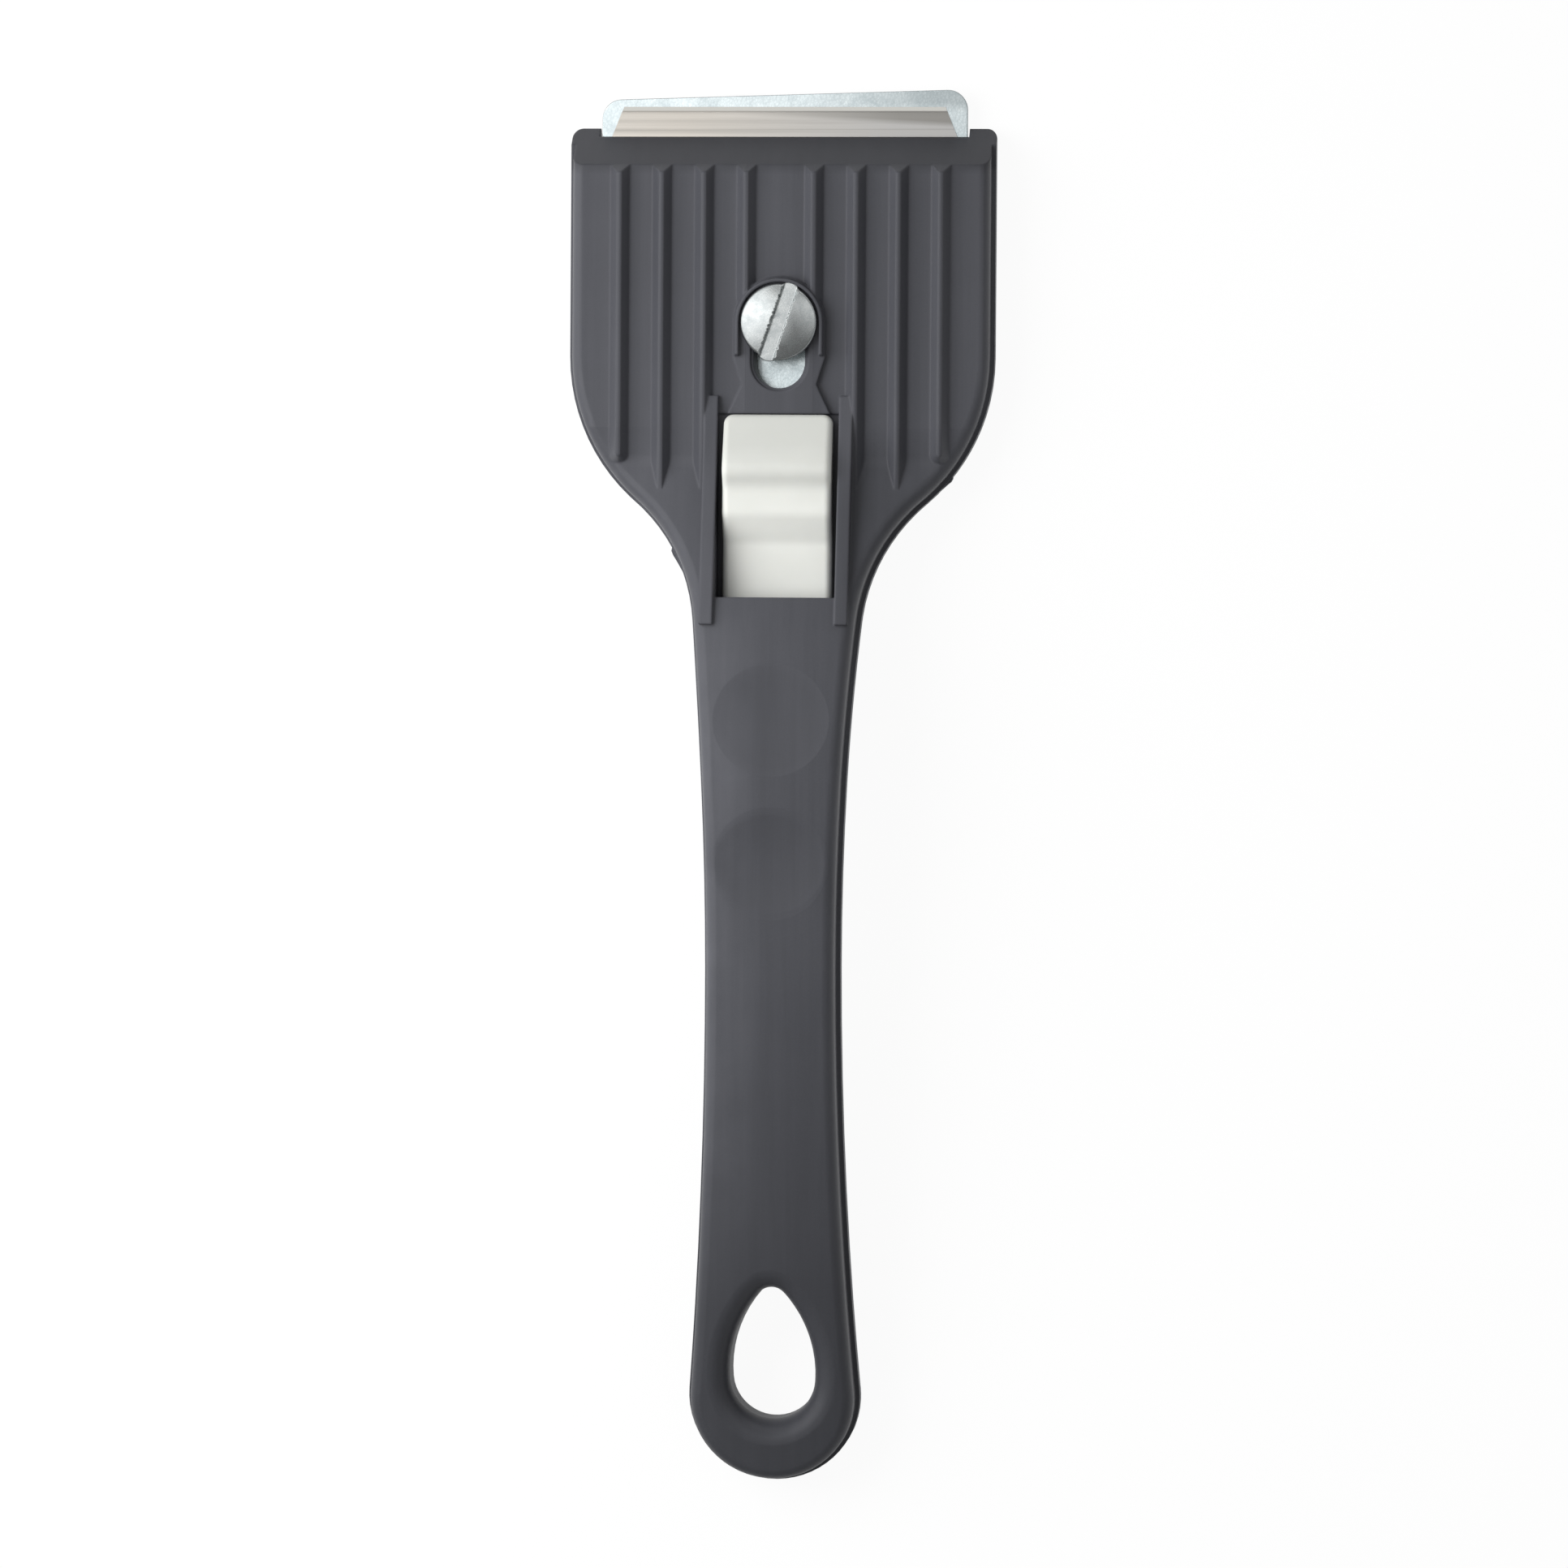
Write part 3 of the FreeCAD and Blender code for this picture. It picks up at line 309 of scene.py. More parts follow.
def largest(tree, most, *others):
    """Take the largest of several values."""
    for other in others:
        most = math_of(tree, "MAXIMUM", most, other)
    return most


def spread(tree, value, low, high, start=0.0, end=1.0):
    """Map a value from one range to another and hold it there."""
    return put(tree, "ShaderNodeMapRange", {0: value, 1: low, 2: high, 3: start, 4: end}).outputs[0]


def zone(tree, value, stops):
    """Mask of a zone: two stops fade it in, two more fade it out again."""
    mask = spread(tree, value, stops[0], stops[1])
    if len(stops) > 2:
        mask = times(tree, mask, spread(tree, value, stops[3], stops[2]))
    return mask


def blend_value(tree, share, first, second):
    """Mix two numbers by a share from 0 to 1."""
    return put(tree, "ShaderNodeMix", {0: share, 2: first, 3: second}, data_type="FLOAT").outputs[0]


def blend_colour(tree, share, first, second):
    """Mix two colours by a share from 0 to 1."""
    return put(tree, "ShaderNodeMix", {0: share, 6: first, 7: second}, data_type="RGBA").outputs[2]


def opaque(colour):
    """A colour with full alpha."""
    return (colour[0], colour[1], colour[2], 1.0)


def object_place(tree):
    """Place on the piece, in metres."""
    return put(tree, "ShaderNodeTexCoord").outputs["Object"]


def object_axes(tree):
    """The three numbers of the place on the piece."""
    return put(tree, "ShaderNodeSeparateXYZ", {0: object_place(tree)}).outputs


def noise(tree, place, scale, detail, roughness=0.5, distortion=0.0):
    """Value of a noise at a place."""
    made = put(tree, "ShaderNodeTexNoise", {
        "Vector": place, "Scale": scale, "Detail": detail, "Roughness": roughness,
        "Distortion": distortion})
    return made.outputs[0]


def stretched(tree, place, scale):
    """A place scaled by its own amount along each axis."""
    return put(tree, "ShaderNodeVectorMath", {0: place, 1: scale}, operation="MULTIPLY").outputs[0]


def arc_rise(tree, away, bend):
    """How far a shallow arc has risen at a distance from its middle."""
    return times(tree, away, away, bend, 0.5)


def label_of(word):
    """Socket or group label for a name in the code."""
    return word.replace("_", " ").capitalize()


def effect(tree, build, **values):
    """Place a shared effect in a material with its own values; its group is built at first use."""
    name = label_of(build.__name__)
    shared = bpy.data.node_groups.get(name) or new_group(name, build, values)
    made = put(tree, "ShaderNodeGroup", node_tree=shared)
    for word, value in values.items():
        made.inputs[label_of(word)].default_value = value
    return made.outputs


def new_group(name, build, words):
    """A shader group with a number input for each word; build adds its nodes and names its outputs."""
    tree = bpy.data.node_groups.new(name, "ShaderNodeTree")
    for word in words:
        tree.interface.new_socket(label_of(word), in_out="INPUT", socket_type="NodeSocketFloat")
    results = build(tree, tree.nodes.new("NodeGroupInput").outputs)
    for label, socket in results.items():
        kind = "NodeSocketVector" if socket.type == "VECTOR" else "NodeSocketFloat"
        tree.interface.new_socket(label, in_out="OUTPUT", socket_type=kind)
    end = tree.nodes.new("NodeGroupOutput")
    for label, socket in results.items():
        tree.links.new(socket, end.inputs[label])
    return tree


# Shared effects

def soft_edges(tree, source):
    """Rounds edges in the shading and puts out a mask of them."""
    rounded = put(tree, "ShaderNodeBevel", {"Radius": source["Radius"]}, samples=8).outputs[0]
    surface = put(tree, "ShaderNodeNewGeometry").outputs["Normal"]
    same = put(tree, "ShaderNodeVectorMath", {0: rounded, 1: surface}, operation="DOT_PRODUCT")
    edge = spread(tree, same.outputs["Value"], low=0.995, high=0.80)
    return {"Normal": rounded, "Edge": edge}


def grain(tree, source):
    """Fine moulded grain, a broad cloudy tone and marks drawn along the handle."""
    place = object_place(tree)
    fine = noise(tree, place, source["Fine scale"], detail=4.0, roughness=0.6)
    broad = noise(tree, place, source["Broad scale"], detail=5.0, roughness=0.55)
    drawn = noise(tree, stretched(tree, place, DRAWN_SCALE), 1.0, detail=5.0, roughness=0.6)
    return {"Fine": fine, "Broad": broad, "Drawn": drawn}


def streaks(tree, source):
    """Straight rolling streaks along the cutting edge, fine and broad."""
    across = source["Across scale"]
    scale = put(tree, "ShaderNodeCombineXYZ", {0: source["Along scale"], 1: across, 2: across})
    pulled = stretched(tree, object_place(tree), scale.outputs[0])
    streak = noise(tree, pulled, 1.0, detail=6.0, roughness=0.65)
    band = noise(tree, stretched(tree, pulled, BAND_SCALE), 1.0, detail=2.0)
    return {"Streak": streak, "Band": band}


def zinc_mottle(tree, source):
    """Cloudy spangle of zinc plating with small dull specks."""
    specks_per_cloud = 9.0
    place = object_place(tree)
    cloud = noise(tree, place, source["Scale"], detail=7.0, roughness=0.68, distortion=0.6)
    small = times(tree, source["Scale"], specks_per_cloud)
    speck = put(tree, "ShaderNodeTexVoronoi", {"Vector": place, "Scale": small}, feature="F1")
    return {
        "Cloud": spread(tree, cloud, low=0.32, high=0.70),
        "Speck": spread(tree, speck.outputs["Distance"], low=0.15, high=0.75),
    }


def moulding(tree, source):
    """Height in metres of the moulding's camber, rib hollows and thumb dimples, and a dimple mask."""
    axes = object_axes(tree)
    ahead = zone(tree, axes[1], GRIP_TO_HEAD)
    bend = blend_value(tree, ahead, source["Grip bend"], source["Head bend"])
    fall = arc_rise(tree, axes[0], bend)
    aside = math_of(tree, "SUBTRACT", math_of(tree, "ABSOLUTE", axes[0]), RIB_OFFSET)
    lane = math_of(tree, "FRACT", math_of(tree, "DIVIDE", aside, RIB_PITCH))
    from_middle = times(tree, math_of(tree, "SUBTRACT", lane, 0.5), RIB_PITCH)
    fluted = times(tree, zone(tree, axes[1], FLUTED_ALONG), math_of(tree, "GREATER_THAN", aside, 0.0))
    hollow = times(tree, arc_rise(tree, from_middle, source["Flute bend"]), fluted)
    front, rear = [dimple_reach(tree, axes, station) for station in DIMPLE_STATIONS]
    reach = math_of(tree, "MINIMUM", front, rear)
    brim = times(tree, spread(tree, reach, low=0.0, high=1.0), source["Dimple depth"])
    height = total(tree, math_of(tree, "SUBTRACT", hollow, fall), brim)
    return {"Height": height, "Dimple": zone(tree, reach, DIMPLE_BRIM)}


def dimple_reach(tree, axes, station):
    """Square of the distance from a dimple's middle, 1 at its brim."""
    across = math_of(tree, "DIVIDE", axes[0], DIMPLE_HALF_WIDTH)
    along = math_of(tree, "DIVIDE", math_of(tree, "SUBTRACT", axes[1], station), DIMPLE_HALF_LENGTH)
    return total(tree, times(tree, across, across), times(tree, along, along))


def bow(tree, source):
    """Height in metres of a sheet that is slightly bowed across."""
    rise = arc_rise(tree, object_axes(tree)[0], source["Bend"])
    return {"Height": math_of(tree, "SUBTRACT", 0.0, rise)}


# Materials

def new_material(name):
    """A material with one Principled shader and its tree."""
    material = bpy.data.materials.new(name)
    material.use_nodes = True
    tree = material.node_tree
    return material, tree, tree.nodes["Principled BSDF"]


def shaped(tree, height, **normal):
    """Normal of a surface that carries a height in metres."""
    inputs = {"Strength": 1.0, "Distance": 1.0, "Height": height, **normal}
    return put(tree, "ShaderNodeBump", inputs).outputs[0]


def roughen(tree, shader, height, normal, strength, depth):
    """Give a surface its fine relief."""
    relief = put(tree, "ShaderNodeBump", {
        "Strength": strength, "Distance": depth, "Height": height, "Normal": normal})
    tree.links.new(relief.outputs[0], shader.inputs["Normal"])


def grey_plastic(finish):
    """Satin moulded plastic with fine grain and flow marks, edges lightened by polish and by painted
    highlight, painted sheen on the left of the grip, and painted shade on the tail, the front band, the
    right of the neck and in the thumb dimples.
    """
    edge_polish_and_highlight = 0.32
    tail_shade = 0.46
    bevel_shade = 0.62
    neck_shade = 0.34
    thumb_shade = 0.125
    material, tree, shader = new_material("grey_plastic_finish")
    axes = object_axes(tree)
    edges = effect(tree, soft_edges, radius=finish.edge_softness)
    texture = effect(tree, grain, fine_scale=5200.0, broad_scale=70.0)
    form = effect(tree, moulding, grip_bend=1.0 / finish.grip_camber, head_bend=1.0 / finish.head_camber,
                  flute_bend=1.0 / finish.flute_radius, dimple_depth=finish.dimple_bend)
    cloud = spread(tree, texture["Broad"], low=0.3, high=0.7, end=0.22)
    fleck = spread(tree, texture["Fine"], low=0.35, high=0.75, end=0.16)
    drawn = spread(tree, texture["Drawn"], low=0.38, high=0.72, start=-0.06, end=0.20)
    # Edges lightened partly by polish, partly as a painted highlight
    edge_tone_and_painted_light = times(tree, edges["Edge"], edge_polish_and_highlight)
    patchy = spread(tree, texture["Broad"], low=0.32, high=0.58, start=0.3, end=0.75)
    # Painted sheen on the left of the grip
    painted_sheen = times(tree, zone(tree, axes[1], SHEEN_ALONG), zone(tree, axes[0], SHEEN_ASIDE), patchy)
    tone = total(tree, cloud, fleck, drawn, edge_tone_and_painted_light, painted_sheen, clamp=True)
    colour = blend_colour(tree, tone, opaque(finish.plastic), opaque(finish.plastic_worn_and_sheen))
    # Painted shade on the tail, the front band, the right of the neck and in the thumb dimples
    neck = times(tree, zone(tree, axes[1], NECK_SHADE_ALONG), zone(tree, axes[0], NECK_SHADE_ASIDE), neck_shade)
    shaded = largest(
        tree, times(tree, zone(tree, axes[1], TAIL_SHADE_ALONG), tail_shade),
        times(tree, zone(tree, axes[1], BEVEL_SHADE_ALONG), bevel_shade), neck,
        times(tree, form["Dimple"], thumb_shade))
    colour = blend_colour(tree, shaded, colour, opaque(finish.plastic_shade))
    tree.links.new(colour, shader.inputs["Base Color"])
    rough = spread(tree, texture["Fine"], low=0.3, high=0.7, start=0.34, end=0.44)
    tree.links.new(rough, shader.inputs["Roughness"])
    shader.inputs["Specular IOR Level"].default_value = 0.27
    camber = shaped(tree, form["Height"], Normal=edges["Normal"])
    roughen(tree, shader, texture["Fine"], camber, strength=0.12, depth=0.03 * MM)
    return material


def white_plastic(finish):
    """Slightly translucent white moulding with a soft gloss and a cloudy tone, darkened towards its
    front by painted shade.
    """
    thumb_shade = 0.92
    material, tree, shader = new_material("white_plastic_finish")
    edges = effect(tree, soft_edges, radius=finish.edge_softness)
    texture = effect(tree, grain, fine_scale=3600.0, broad_scale=160.0)
    cloud = spread(tree, texture["Broad"], low=0.35, high=0.7, end=0.2)
    # Painted shade darkens the slider towards its front
    slope_shade = times(tree, zone(tree, object_axes(tree)[1], SLOPE_SHADE_ALONG), thumb_shade)
    tone_and_shade = total(tree, cloud, slope_shade, clamp=True)
    colour = blend_colour(tree, tone_and_shade, opaque(finish.slider), opaque(finish.slider_tone_and_shade))
    tree.links.new(colour, shader.inputs["Base Color"])
    rough = spread(tree, texture["Fine"], low=0.3, high=0.7, start=0.36, end=0.5)
    tree.links.new(rough, shader.inputs["Roughness"])
    shader.inputs["Subsurface Weight"].default_value = 0.12
    shader.inputs["Subsurface Radius"].default_value = (1.2 * MM, 1.1 * MM, 0.9 * MM)
    roughen(tree, shader, texture["Fine"], edges["Normal"], strength=0.05, depth=0.02 * MM)
    return material


def zinc(finish, name, scale, rough, bend=0.0, edge_shade=0.0, front_right_shade=0.0, tint=(1.0, 1.0, 1.0)):
    """Zinc plating: cloudy, bluish and dulled in patches, with painted shade along its edges and over
    its front right where asked.
    """
    cloud_dulling = 0.8
    speck_dulling = 0.4
    painted_shade_tone = 0.5
    plated_edge = 0.18 * MM
    material, tree, shader = new_material(name)
    axes = object_axes(tree)
    edges = effect(tree, soft_edges, radius=plated_edge)
    mottle = effect(tree, zinc_mottle, scale=scale)
    bright = [part * share for part, share in zip(finish.zinc, tint)]
    dulled = [part * share for part, share in zip(finish.zinc_dull, tint)]
    painted_shade_zinc = [part * painted_shade_tone for part in dulled]
    cloud = times(tree, mottle["Cloud"], cloud_dulling)
    tone = total(tree, cloud, times(tree, mottle["Speck"], speck_dulling), clamp=True)
    colour = blend_colour(tree, tone, opaque(bright), opaque(dulled))
    # Painted shade over the front right of the sheet
    front = times(tree, zone(tree, axes[0], SHEET_SHADE_ASIDE), zone(tree, axes[1], SHEET_SHADE_ALONG), front_right_shade)
    # Painted shade along the edges, joined with the front right
    edge_tone_and_painted_light = largest(tree, times(tree, edges["Edge"], edge_shade), front)
    colour = blend_colour(tree, edge_tone_and_painted_light, colour, opaque(painted_shade_zinc))
    tree.links.new(colour, shader.inputs["Base Color"])
    dullness = spread(tree, mottle["Cloud"], low=0.0, high=1.0, start=rough[0], end=rough[1])
    tree.links.new(dullness, shader.inputs["Roughness"])
    shader.inputs["Metallic"].default_value = 1.0
    bowed = shaped(tree, effect(tree, bow, bend=bend)["Height"], Normal=edges["Normal"])
    roughen(tree, shader, mottle["Speck"], bowed, strength=0.10, depth=0.02 * MM)
    return material


def blade_steel(finish):
    """Warm spring steel with streaks and a ground edge, made greyer to the right by a painted
    reflection, with a dark wedge of painted shade behind the edge.
    """
    painted_grey_tone = 0.88
    painted_grey_share = 0.8
    painted_grey_aside = (-12.0 * MM, 14.0 * MM)
    wedge_share = 0.85
    wedge_slope = 0.05
    wedge_depth = (1.7 * MM, 0.9 * MM)
    wedge_drift = 0.9 * MM
    scratch_depth = 2.9 * MM
    scratch_width = 0.16 * MM
    scratch_share = 0.45
    ground_along = (CUTTING_EDGE - 0.56 * MM, CUTTING_EDGE - 0.46 * MM)
    ground_rough = 0.5
    material, tree, shader = new_material("blade_steel_finish")
    axes = object_axes(tree)
    rolled = effect(tree, streaks, across_scale=1500.0, along_scale=14.0)
    # Painted reflection: the blade turns greyer towards the right
    painted_grey = [finish.blade[0] * painted_grey_tone] * 3
    right = zone(tree, axes[0], painted_grey_aside)
    colour = blend_colour(tree, times(tree, right, painted_grey_share), opaque(finish.blade), opaque(painted_grey))
    # Painted shade: a dark wedge behind the edge on the right
    drift = times(tree, math_of(tree, "SUBTRACT", rolled["Band"], 0.5), wedge_drift)
    behind = math_of(tree, "SUBTRACT", CUTTING_EDGE, total(tree, axes[1], drift))
    slanted = math_of(tree, "SUBTRACT", behind, times(tree, axes[0], wedge_slope))
    wedge = times(tree, zone(tree, slanted, wedge_depth), right, wedge_share)
    from_scratch = math_of(tree, "ABSOLUTE", math_of(tree, "SUBTRACT", behind, scratch_depth))
    scratch = spread(tree, from_scratch, low=0.0, high=scratch_width, start=scratch_share, end=0.0)
    fine = spread(tree, rolled["Streak"], low=0.35, high=0.7, end=0.28)
    colour = blend_colour(tree, largest(tree, wedge, scratch, fine), colour, opaque(finish.blade_streak_and_shade))
    ground = zone(tree, axes[1], ground_along)
    colour = blend_colour(tree, ground, colour, opaque(finish.blade_edge))
    tree.links.new(colour, shader.inputs["Base Color"])
    rough = spread(tree, rolled["Streak"], low=0.3, high=0.7, start=0.26, end=0.42)
    rough = largest(tree, rough, times(tree, ground, ground_rough))
    tree.links.new(rough, shader.inputs["Roughness"])
    shader.inputs["Metallic"].default_value = 1.0
    bowed = shaped(tree, effect(tree, bow, bend=1.0 / finish.sheet_bow)["Height"])
    roughen(tree, shader, rolled["Streak"], bowed, strength=0.12, depth=0.02 * MM)
    return material


def dress(node, material):
    """Give a CAD node its finish."""
    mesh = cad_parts[node].data
    mesh.materials.clear()
    mesh.materials.append(material)


# Operators

class SCRAPER_OT_handle(bpy.types.Operator):
    """Finish the moulded handle"""

    bl_idname = "scraper.handle"
    bl_label = "Handle"

    def execute(self, context):
        dress("handle_body", grey_plastic(context.scene.scraper_finish))
        return {"FINISHED"}


class SCRAPER_OT_flash(bpy.types.Operator):
    """Leave slivers of mould flash where the halves of the mould met"""

    bl_idname = "scraper.flash"
    bl_label = "Mould flash"

    def execute(self, context):
        for name, sliver in FLASH.items():
            mesh = bpy.data.meshes.new(name)
            flash_sliver(mesh, sliver)
            mesh.materials.append(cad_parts["handle_body"].data.materials[0])
            flash = bpy.data.objects.new(name, mesh)
            context.scene.collection.objects.link(flash)
            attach(flash, "handle")
        return {"FINISHED"}


def flash_sliver(mesh, sliver):
    """Raise a tapering sliver from the wall of the handle."""
    out = Vector(sliver["out"]).normalized()
    form = bmesh.new()
    outer = []
    inner = []
    for x, y, proud in sliver["stations"]:
        wall = Vector((x, y, sliver["low"]))
        outer.append(form.verts.new((wall + out * proud) * MM))
        inner.append(form.verts.new((wall - out * sliver["sunk"]) * MM))
    base = form.faces.new(outer + inner[::-1])
    raised = bmesh.ops.extrude_face_region(form, geom=[base])
    top = [item for item in raised["geom"] if isinstance(item, bmesh.types.BMVert)]
    bmesh.ops.translate(form, verts=top, vec=(0.0, 0.0, (sliver["high"] - sliver["low"]) * MM))
    bmesh.ops.recalc_face_normals(form, faces=form.faces[:])
    rim = [edge for edge in form.edges if edge.is_manifold and edge.calc_face_angle() > FLASH_CREASE]
    bmesh.ops.bevel(form, geom=rim, offset=FLASH_ROUND, affect="EDGES", segments=2, profile=0.5,
                    material=-1)
    form.to_mesh(mesh)
    form.free()


class SCRAPER_OT_blade(bpy.types.Operator):
    """Finish the ground blade"""

    bl_idname = "scraper.blade"
    bl_label = "Blade"

    def execute(self, context):
        dress("scraper_blade", blade_steel(context.scene.scraper_finish))
        return {"FINISHED"}


class SCRAPER_OT_guard(bpy.types.Operator):
    """Finish the zinc guard plate and the bush riveted into it"""

    bl_idname = "scraper.guard"
    bl_label = "Guard plate and bush"

    def execute(self, context):
        finish = context.scene.scraper_finish
        # The sheet gets painted shade along its edges and over its front right
        sheet = zinc(finish, "zinc_sheet_finish", scale=330.0, rough=(0.17, 0.30),
                     bend=1.0 / finish.sheet_bow, edge_shade=0.8, front_right_shade=0.5)
        dress("guard_plate", sheet)
        dress("guide_bush", zinc(finish, "zinc_fitting_finish", scale=520.0, rough=(0.26, 0.42)))
        return {"FINISHED"}


class SCRAPER_OT_slider(bpy.types.Operator):
    """Finish the white thumb slider"""

    bl_idname = "scraper.slider"
    bl_label = "Thumb slider"

    def execute(self, context):
        dress("thumb_slider", white_plastic(context.scene.scraper_finish))
        return {"FINISHED"}


class SCRAPER_OT_screw(bpy.types.Operator):
    """Model the cold-formed slotted screw"""

    bl_idname = "scraper.screw"
    bl_label = "Screw"

    def execute(self, context):
        mesh = bpy.data.meshes.new("slotted_screw")
        turned_screw(mesh, context.scene.scraper_screw)
        screw = bpy.data.objects.new("slotted_screw", mesh)
        context.scene.collection.objects.link(screw)
        mesh.materials.append(zinc(context.scene.scraper_finish, "zinc_screw_finish", scale=600.0,
                                   rough=(0.20, 0.34), tint=SCREW_TINT))
        mesh.shade_smooth()
        mesh.set_sharp_from_angle(angle=SCREW_CREASE)
        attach(screw, "screw")
        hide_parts("guide_screw")
        return {"FINISHED"}


def turned_screw(mesh, sizes):
    """Turn the screw from a profile, then press the slot into its head."""
    middle = (SCREW_LOW + SCREW_HIGH) / 2
    rim = (SCREW_HIGH.x - SCREW_LOW.x) / 2
    crown = SCREW_HIGH.z
    under = crown - sizes.head_height
    dome = sizes.head_height - sizes.rim_height
    dome_radius = (rim * rim + dome * dome) / (2 * dome)
    dome_centre = Vector((middle.x, middle.y, crown - dome_radius))
    form = bmesh.new()
    peak = form.verts.new((middle.x, middle.y, crown))
    arc = bmesh.ops.spin(form, geom=[peak], cent=dome_centre, axis=(0, 1, 0), steps=DOME_STEPS,
                         angle=math.asin(rim / dome_radius))
    last = [item for item in arc["geom_last"] if isinstance(item, bmesh.types.BMVert)][0]
    corners = [
        (rim, under), (sizes.shank_radius, under), (sizes.shank_radius, SCREW_LOW.z + TIP_CHAMFER),
        (sizes.shank_radius - TIP_CHAMFER, SCREW_LOW.z), (0.0, SCREW_LOW.z),
    ]
    for reach, height in corners:
        step = form.verts.new((middle.x + reach, middle.y, height))
        form.edges.new((last, step))
        last = step
    bmesh.ops.spin(form, geom=form.verts[:] + form.edges[:], cent=middle, axis=(0, 0, 1),
                   steps=TURN_STEPS, angle=math.tau, use_merge=True)
    bmesh.ops.remove_doubles(form, verts=form.verts[:], dist=NEAR)
    bmesh.ops.dissolve_degenerate(form, edges=form.edges[:], dist=NEARER)
    bmesh.ops.recalc_face_normals(form, faces=form.faces[:])
    brow = under + sizes.rim_height
    ring = [edge for edge in form.edges if all(
        abs(vert.co.z - brow) < NEAR and abs((vert.co - middle).xy.length - rim) < NEAR
        for vert in edge.verts)]
    bmesh.ops.bevel(form, geom=ring, offset=RIM_ROUND, affect="EDGES", segments=3, profile=0.5,
                    material=-1)
    press_slot(form, sizes, middle, rim, crown)
    bmesh.ops.recalc_face_normals(form, faces=form.faces[:])
    form.to_mesh(mesh)
    form.free()


def press_slot(form, sizes, middle, rim, crown):
    """Sink the slot between straight cuts and push metal out at its ends."""
    along = Vector((math.sin(sizes.slot_angle), math.cos(sizes.slot_angle), 0.0))
    across = Vector((along.y, -along.x, 0.0))
    half = sizes.slot_width / 2
    brink = half + sizes.shoulder
    head_base = crown - sizes.head_height + RIM_FOOT
    for offset in (-brink, -half, half, brink):
        bmesh.ops.bisect_plane(form, geom=form.verts[:] + form.edges[:] + form.faces[:], dist=NEARER,
                               plane_co=middle + across * offset, plane_no=across)
    floor = crown - sizes.slot_depth
    for vert in form.verts:
        if vert.co.z < head_base:
            continue
        side = (vert.co - middle).dot(across)
        reach = (vert.co - middle).dot(along)
        if abs(side) < half + NEARER:
            vert.co.z = min(vert.co.z, floor)
        swell = max(0.0, 1.0 - (side / BURR_HALF_WIDTH) ** 2)
        outward = (abs(reach) / rim - BURR_START) / (1.0 - BURR_START)
        outward = min(max(outward, 0.0), 1.0)
        vert.co += along * math.copysign(sizes.burr * swell * outward, reach)


class SCRAPER_OT_stage(bpy.types.Operator):
    """Set up the pale floor, the soft light and the camera"""

    bl_idname = "scraper.stage"
    bl_label = "Studio"

    def execute(self, context):
        sizes = context.scene.scraper_stage
        build_floor(context, sizes)
        build_light(context, sizes)
        build_world(context, sizes)
        build_camera(context, sizes)
        context.scene.view_settings.view_transform = "Standard"
        return {"FINISHED"}


def build_floor(context, sizes):
    """A pale floor that looks white and keeps a faint shadow."""
    mesh = bpy.data.meshes.new("studio_floor")
    form = bmesh.new()
    bmesh.ops.create_grid(form, x_segments=1, y_segments=1, size=sizes.floor_size / 2)
    bmesh.ops.translate(form, verts=form.verts[:], vec=(0.0, 0.0, CAD_BOX[0].z - FLOOR_GAP))
    form.to_mesh(mesh)
    form.free()
    floor = bpy.data.objects.new("studio_floor", mesh)
    context.scene.collection.objects.link(floor)
    material = bpy.data.materials.new("pale_floor")
    material.use_nodes = True
    tree = material.node_tree
    tree.nodes.clear()
    ray = put(tree, "ShaderNodeLightPath").outputs
    paper = put(tree, "ShaderNodeBsdfDiffuse", {"Color": PAPER})
    white = put(tree, "ShaderNodeEmission", {"Color": WHITE, "Strength": FLOOR_GLOW})
    mirrored = times(tree, ray["Is Glossy Ray"], FLOOR_MIRRORED)
    seen = largest(tree, ray["Is Camera Ray"], ray["Is Transmission Ray"], mirrored)
    share = times(tree, seen, FLOOR_SEEN)
    mixed = put(tree, "ShaderNodeMixShader", {0: share, 1: paper.outputs[0], 2: white.outputs[0]})
    put(tree, "ShaderNodeOutputMaterial", {"Surface": mixed.outputs[0]})
    mesh.materials.append(material)


def build_light(context, sizes):
    """A square softbox at the upper left; the room's panel stands for it in reflections."""
    lamp = bpy.data.lights.new("softbox", "AREA")
    lamp.shape = "SQUARE"
    lamp.size = sizes.key_size
    lamp.energy = sizes.key_power
    softbox = bpy.data.objects.new("softbox", lamp)
    softbox.location = sizes.key_place
    softbox.rotation_euler = (-softbox.location).to_track_quat("-Z", "Y").to_euler()
    softbox.visible_glossy = False
    context.scene.collection.objects.link(softbox)


def room_patch(tree, axes, name):
    """Mask of one patch of the room, by the directions it lies in."""
    masks = [zone(tree, way, ROOM[name][axis]) for axis, way in zip("xyz", axes) if axis in ROOM[name]]
    return times(tree, *masks)


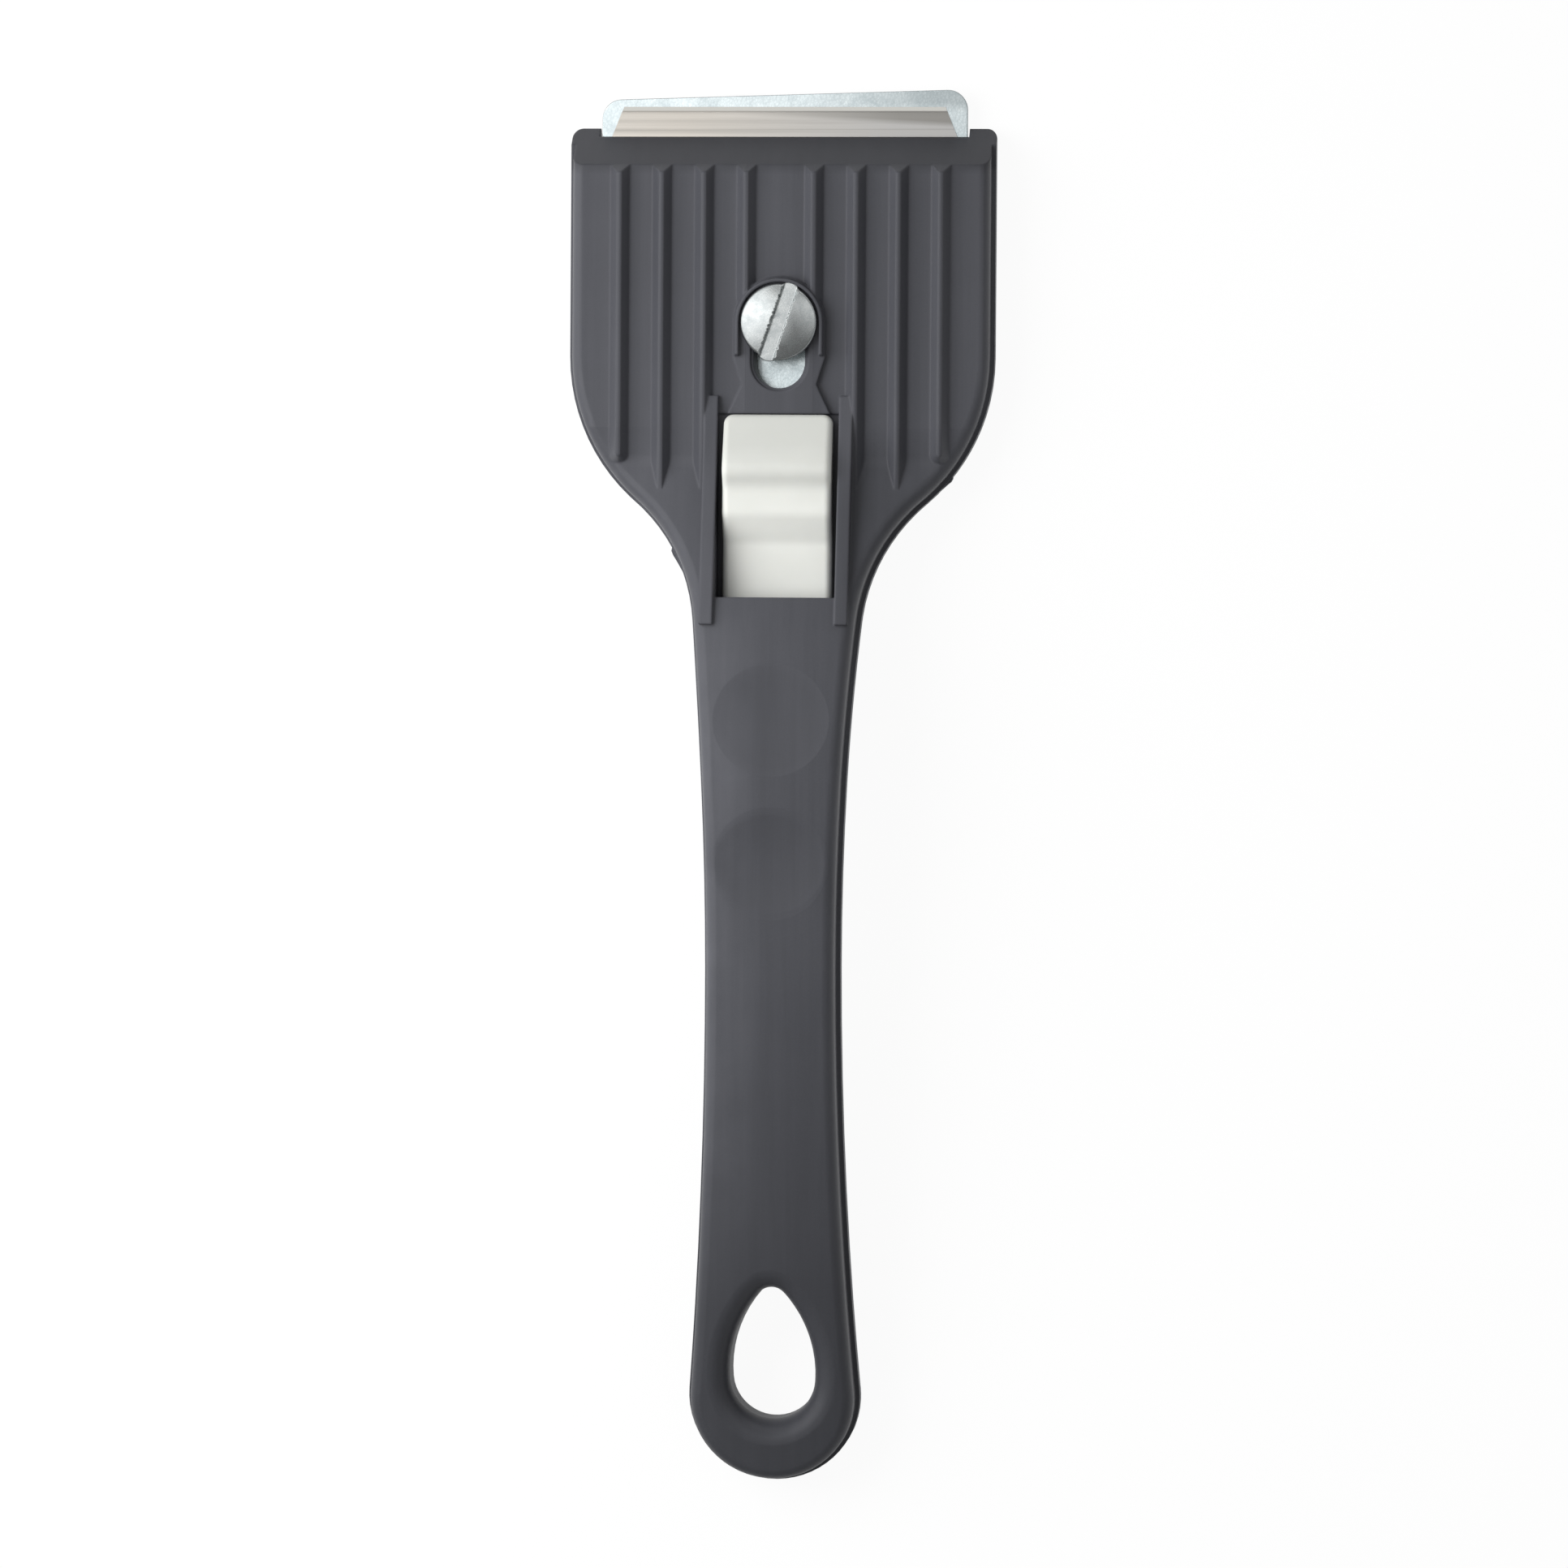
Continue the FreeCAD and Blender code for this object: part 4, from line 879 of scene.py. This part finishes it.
def build_world(context, sizes):
    """Even light for the surfaces, white behind them, and a room of pale panels in reflections."""
    world = bpy.data.worlds.new("studio_room")
    context.scene.world = world
    world.use_nodes = True
    tree = world.node_tree
    tree.nodes.clear()
    ray = put(tree, "ShaderNodeLightPath").outputs
    way = put(tree, "ShaderNodeTexCoord").outputs["Generated"]
    axes = put(tree, "ShaderNodeSeparateXYZ", {0: way}).outputs
    masks = {name: room_patch(tree, axes, name) for name in ROOM}
    lit = {name: times(tree, mask, ROOM[name]["level"]) for name, mask in masks.items()}
    panels = largest(tree, lit["panel"], lit["wide"], lit["front"])
    reflected = total(tree, panels, lit["ring"], lit["wall"], ROOM_BASE)
    even = total(tree, times(tree, masks["wall"], WALL_FILL), sizes.ambient)
    level = blend_value(tree, ray["Is Glossy Ray"], even, reflected)
    seen = largest(tree, ray["Is Camera Ray"], ray["Is Transmission Ray"])
    level = blend_value(tree, seen, level, 1.0)
    room = put(tree, "ShaderNodeBackground", {"Color": WHITE, "Strength": level})
    put(tree, "ShaderNodeOutputWorld", {"Surface": room.outputs[0]})


def build_camera(context, sizes):
    """Camera above the scraper, slightly to its right."""
    lens = bpy.data.cameras.new("camera")
    lens.lens = sizes.lens
    lens.sensor_width = SENSOR
    lens.clip_start = NEAREST
    camera = bpy.data.objects.new("camera", lens)
    camera.rotation_euler = CAMERA_TURN
    back = camera.rotation_euler.to_matrix() @ Vector((0.0, 0.0, sizes.distance))
    camera.location = CAMERA_AIM + back
    context.scene.collection.objects.link(camera)
    context.scene.camera = camera


class SCRAPER_PT_panel(bpy.types.Panel):
    """Lists the steps that finish the scraper"""

    bl_idname = "SCRAPER_PT_panel"
    bl_label = "Hob scraper"
    bl_space_type = "VIEW_3D"
    bl_region_type = "UI"
    bl_category = "Scraper"

    def draw(self, context):
        for operator in OPERATORS:
            self.layout.operator(operator.bl_idname)
        scene = context.scene
        for settings in (scene.scraper_finish, scene.scraper_screw, scene.scraper_stage):
            box = self.layout.box()
            for name in settings.__annotations__:
                box.prop(settings, name)


OPERATORS = (
    SCRAPER_OT_handle,
    SCRAPER_OT_flash,
    SCRAPER_OT_blade,
    SCRAPER_OT_guard,
    SCRAPER_OT_slider,
    SCRAPER_OT_screw,
    SCRAPER_OT_stage,
)
SETTINGS = (ScraperFinish, ScraperScrew, ScraperStage)


def register():
    """Register the classes and give the scene its settings."""
    for item in SETTINGS + OPERATORS + (SCRAPER_PT_panel,):
        bpy.utils.register_class(item)
    bpy.types.Scene.scraper_finish = bpy.props.PointerProperty(type=ScraperFinish)
    bpy.types.Scene.scraper_screw = bpy.props.PointerProperty(type=ScraperScrew)
    bpy.types.Scene.scraper_stage = bpy.props.PointerProperty(type=ScraperStage)


def unregister():
    """Take the settings and classes away again."""
    del bpy.types.Scene.scraper_stage
    del bpy.types.Scene.scraper_screw
    del bpy.types.Scene.scraper_finish
    for item in reversed(SETTINGS + OPERATORS + (SCRAPER_PT_panel,)):
        bpy.utils.unregister_class(item)


def main():
    """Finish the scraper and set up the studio."""
    register()
    bpy.ops.scraper.handle()
    bpy.ops.scraper.flash()
    bpy.ops.scraper.blade()
    bpy.ops.scraper.guard()
    bpy.ops.scraper.slider()
    bpy.ops.scraper.screw()
    bpy.ops.scraper.stage()


if __name__ == "__main__":
    main()
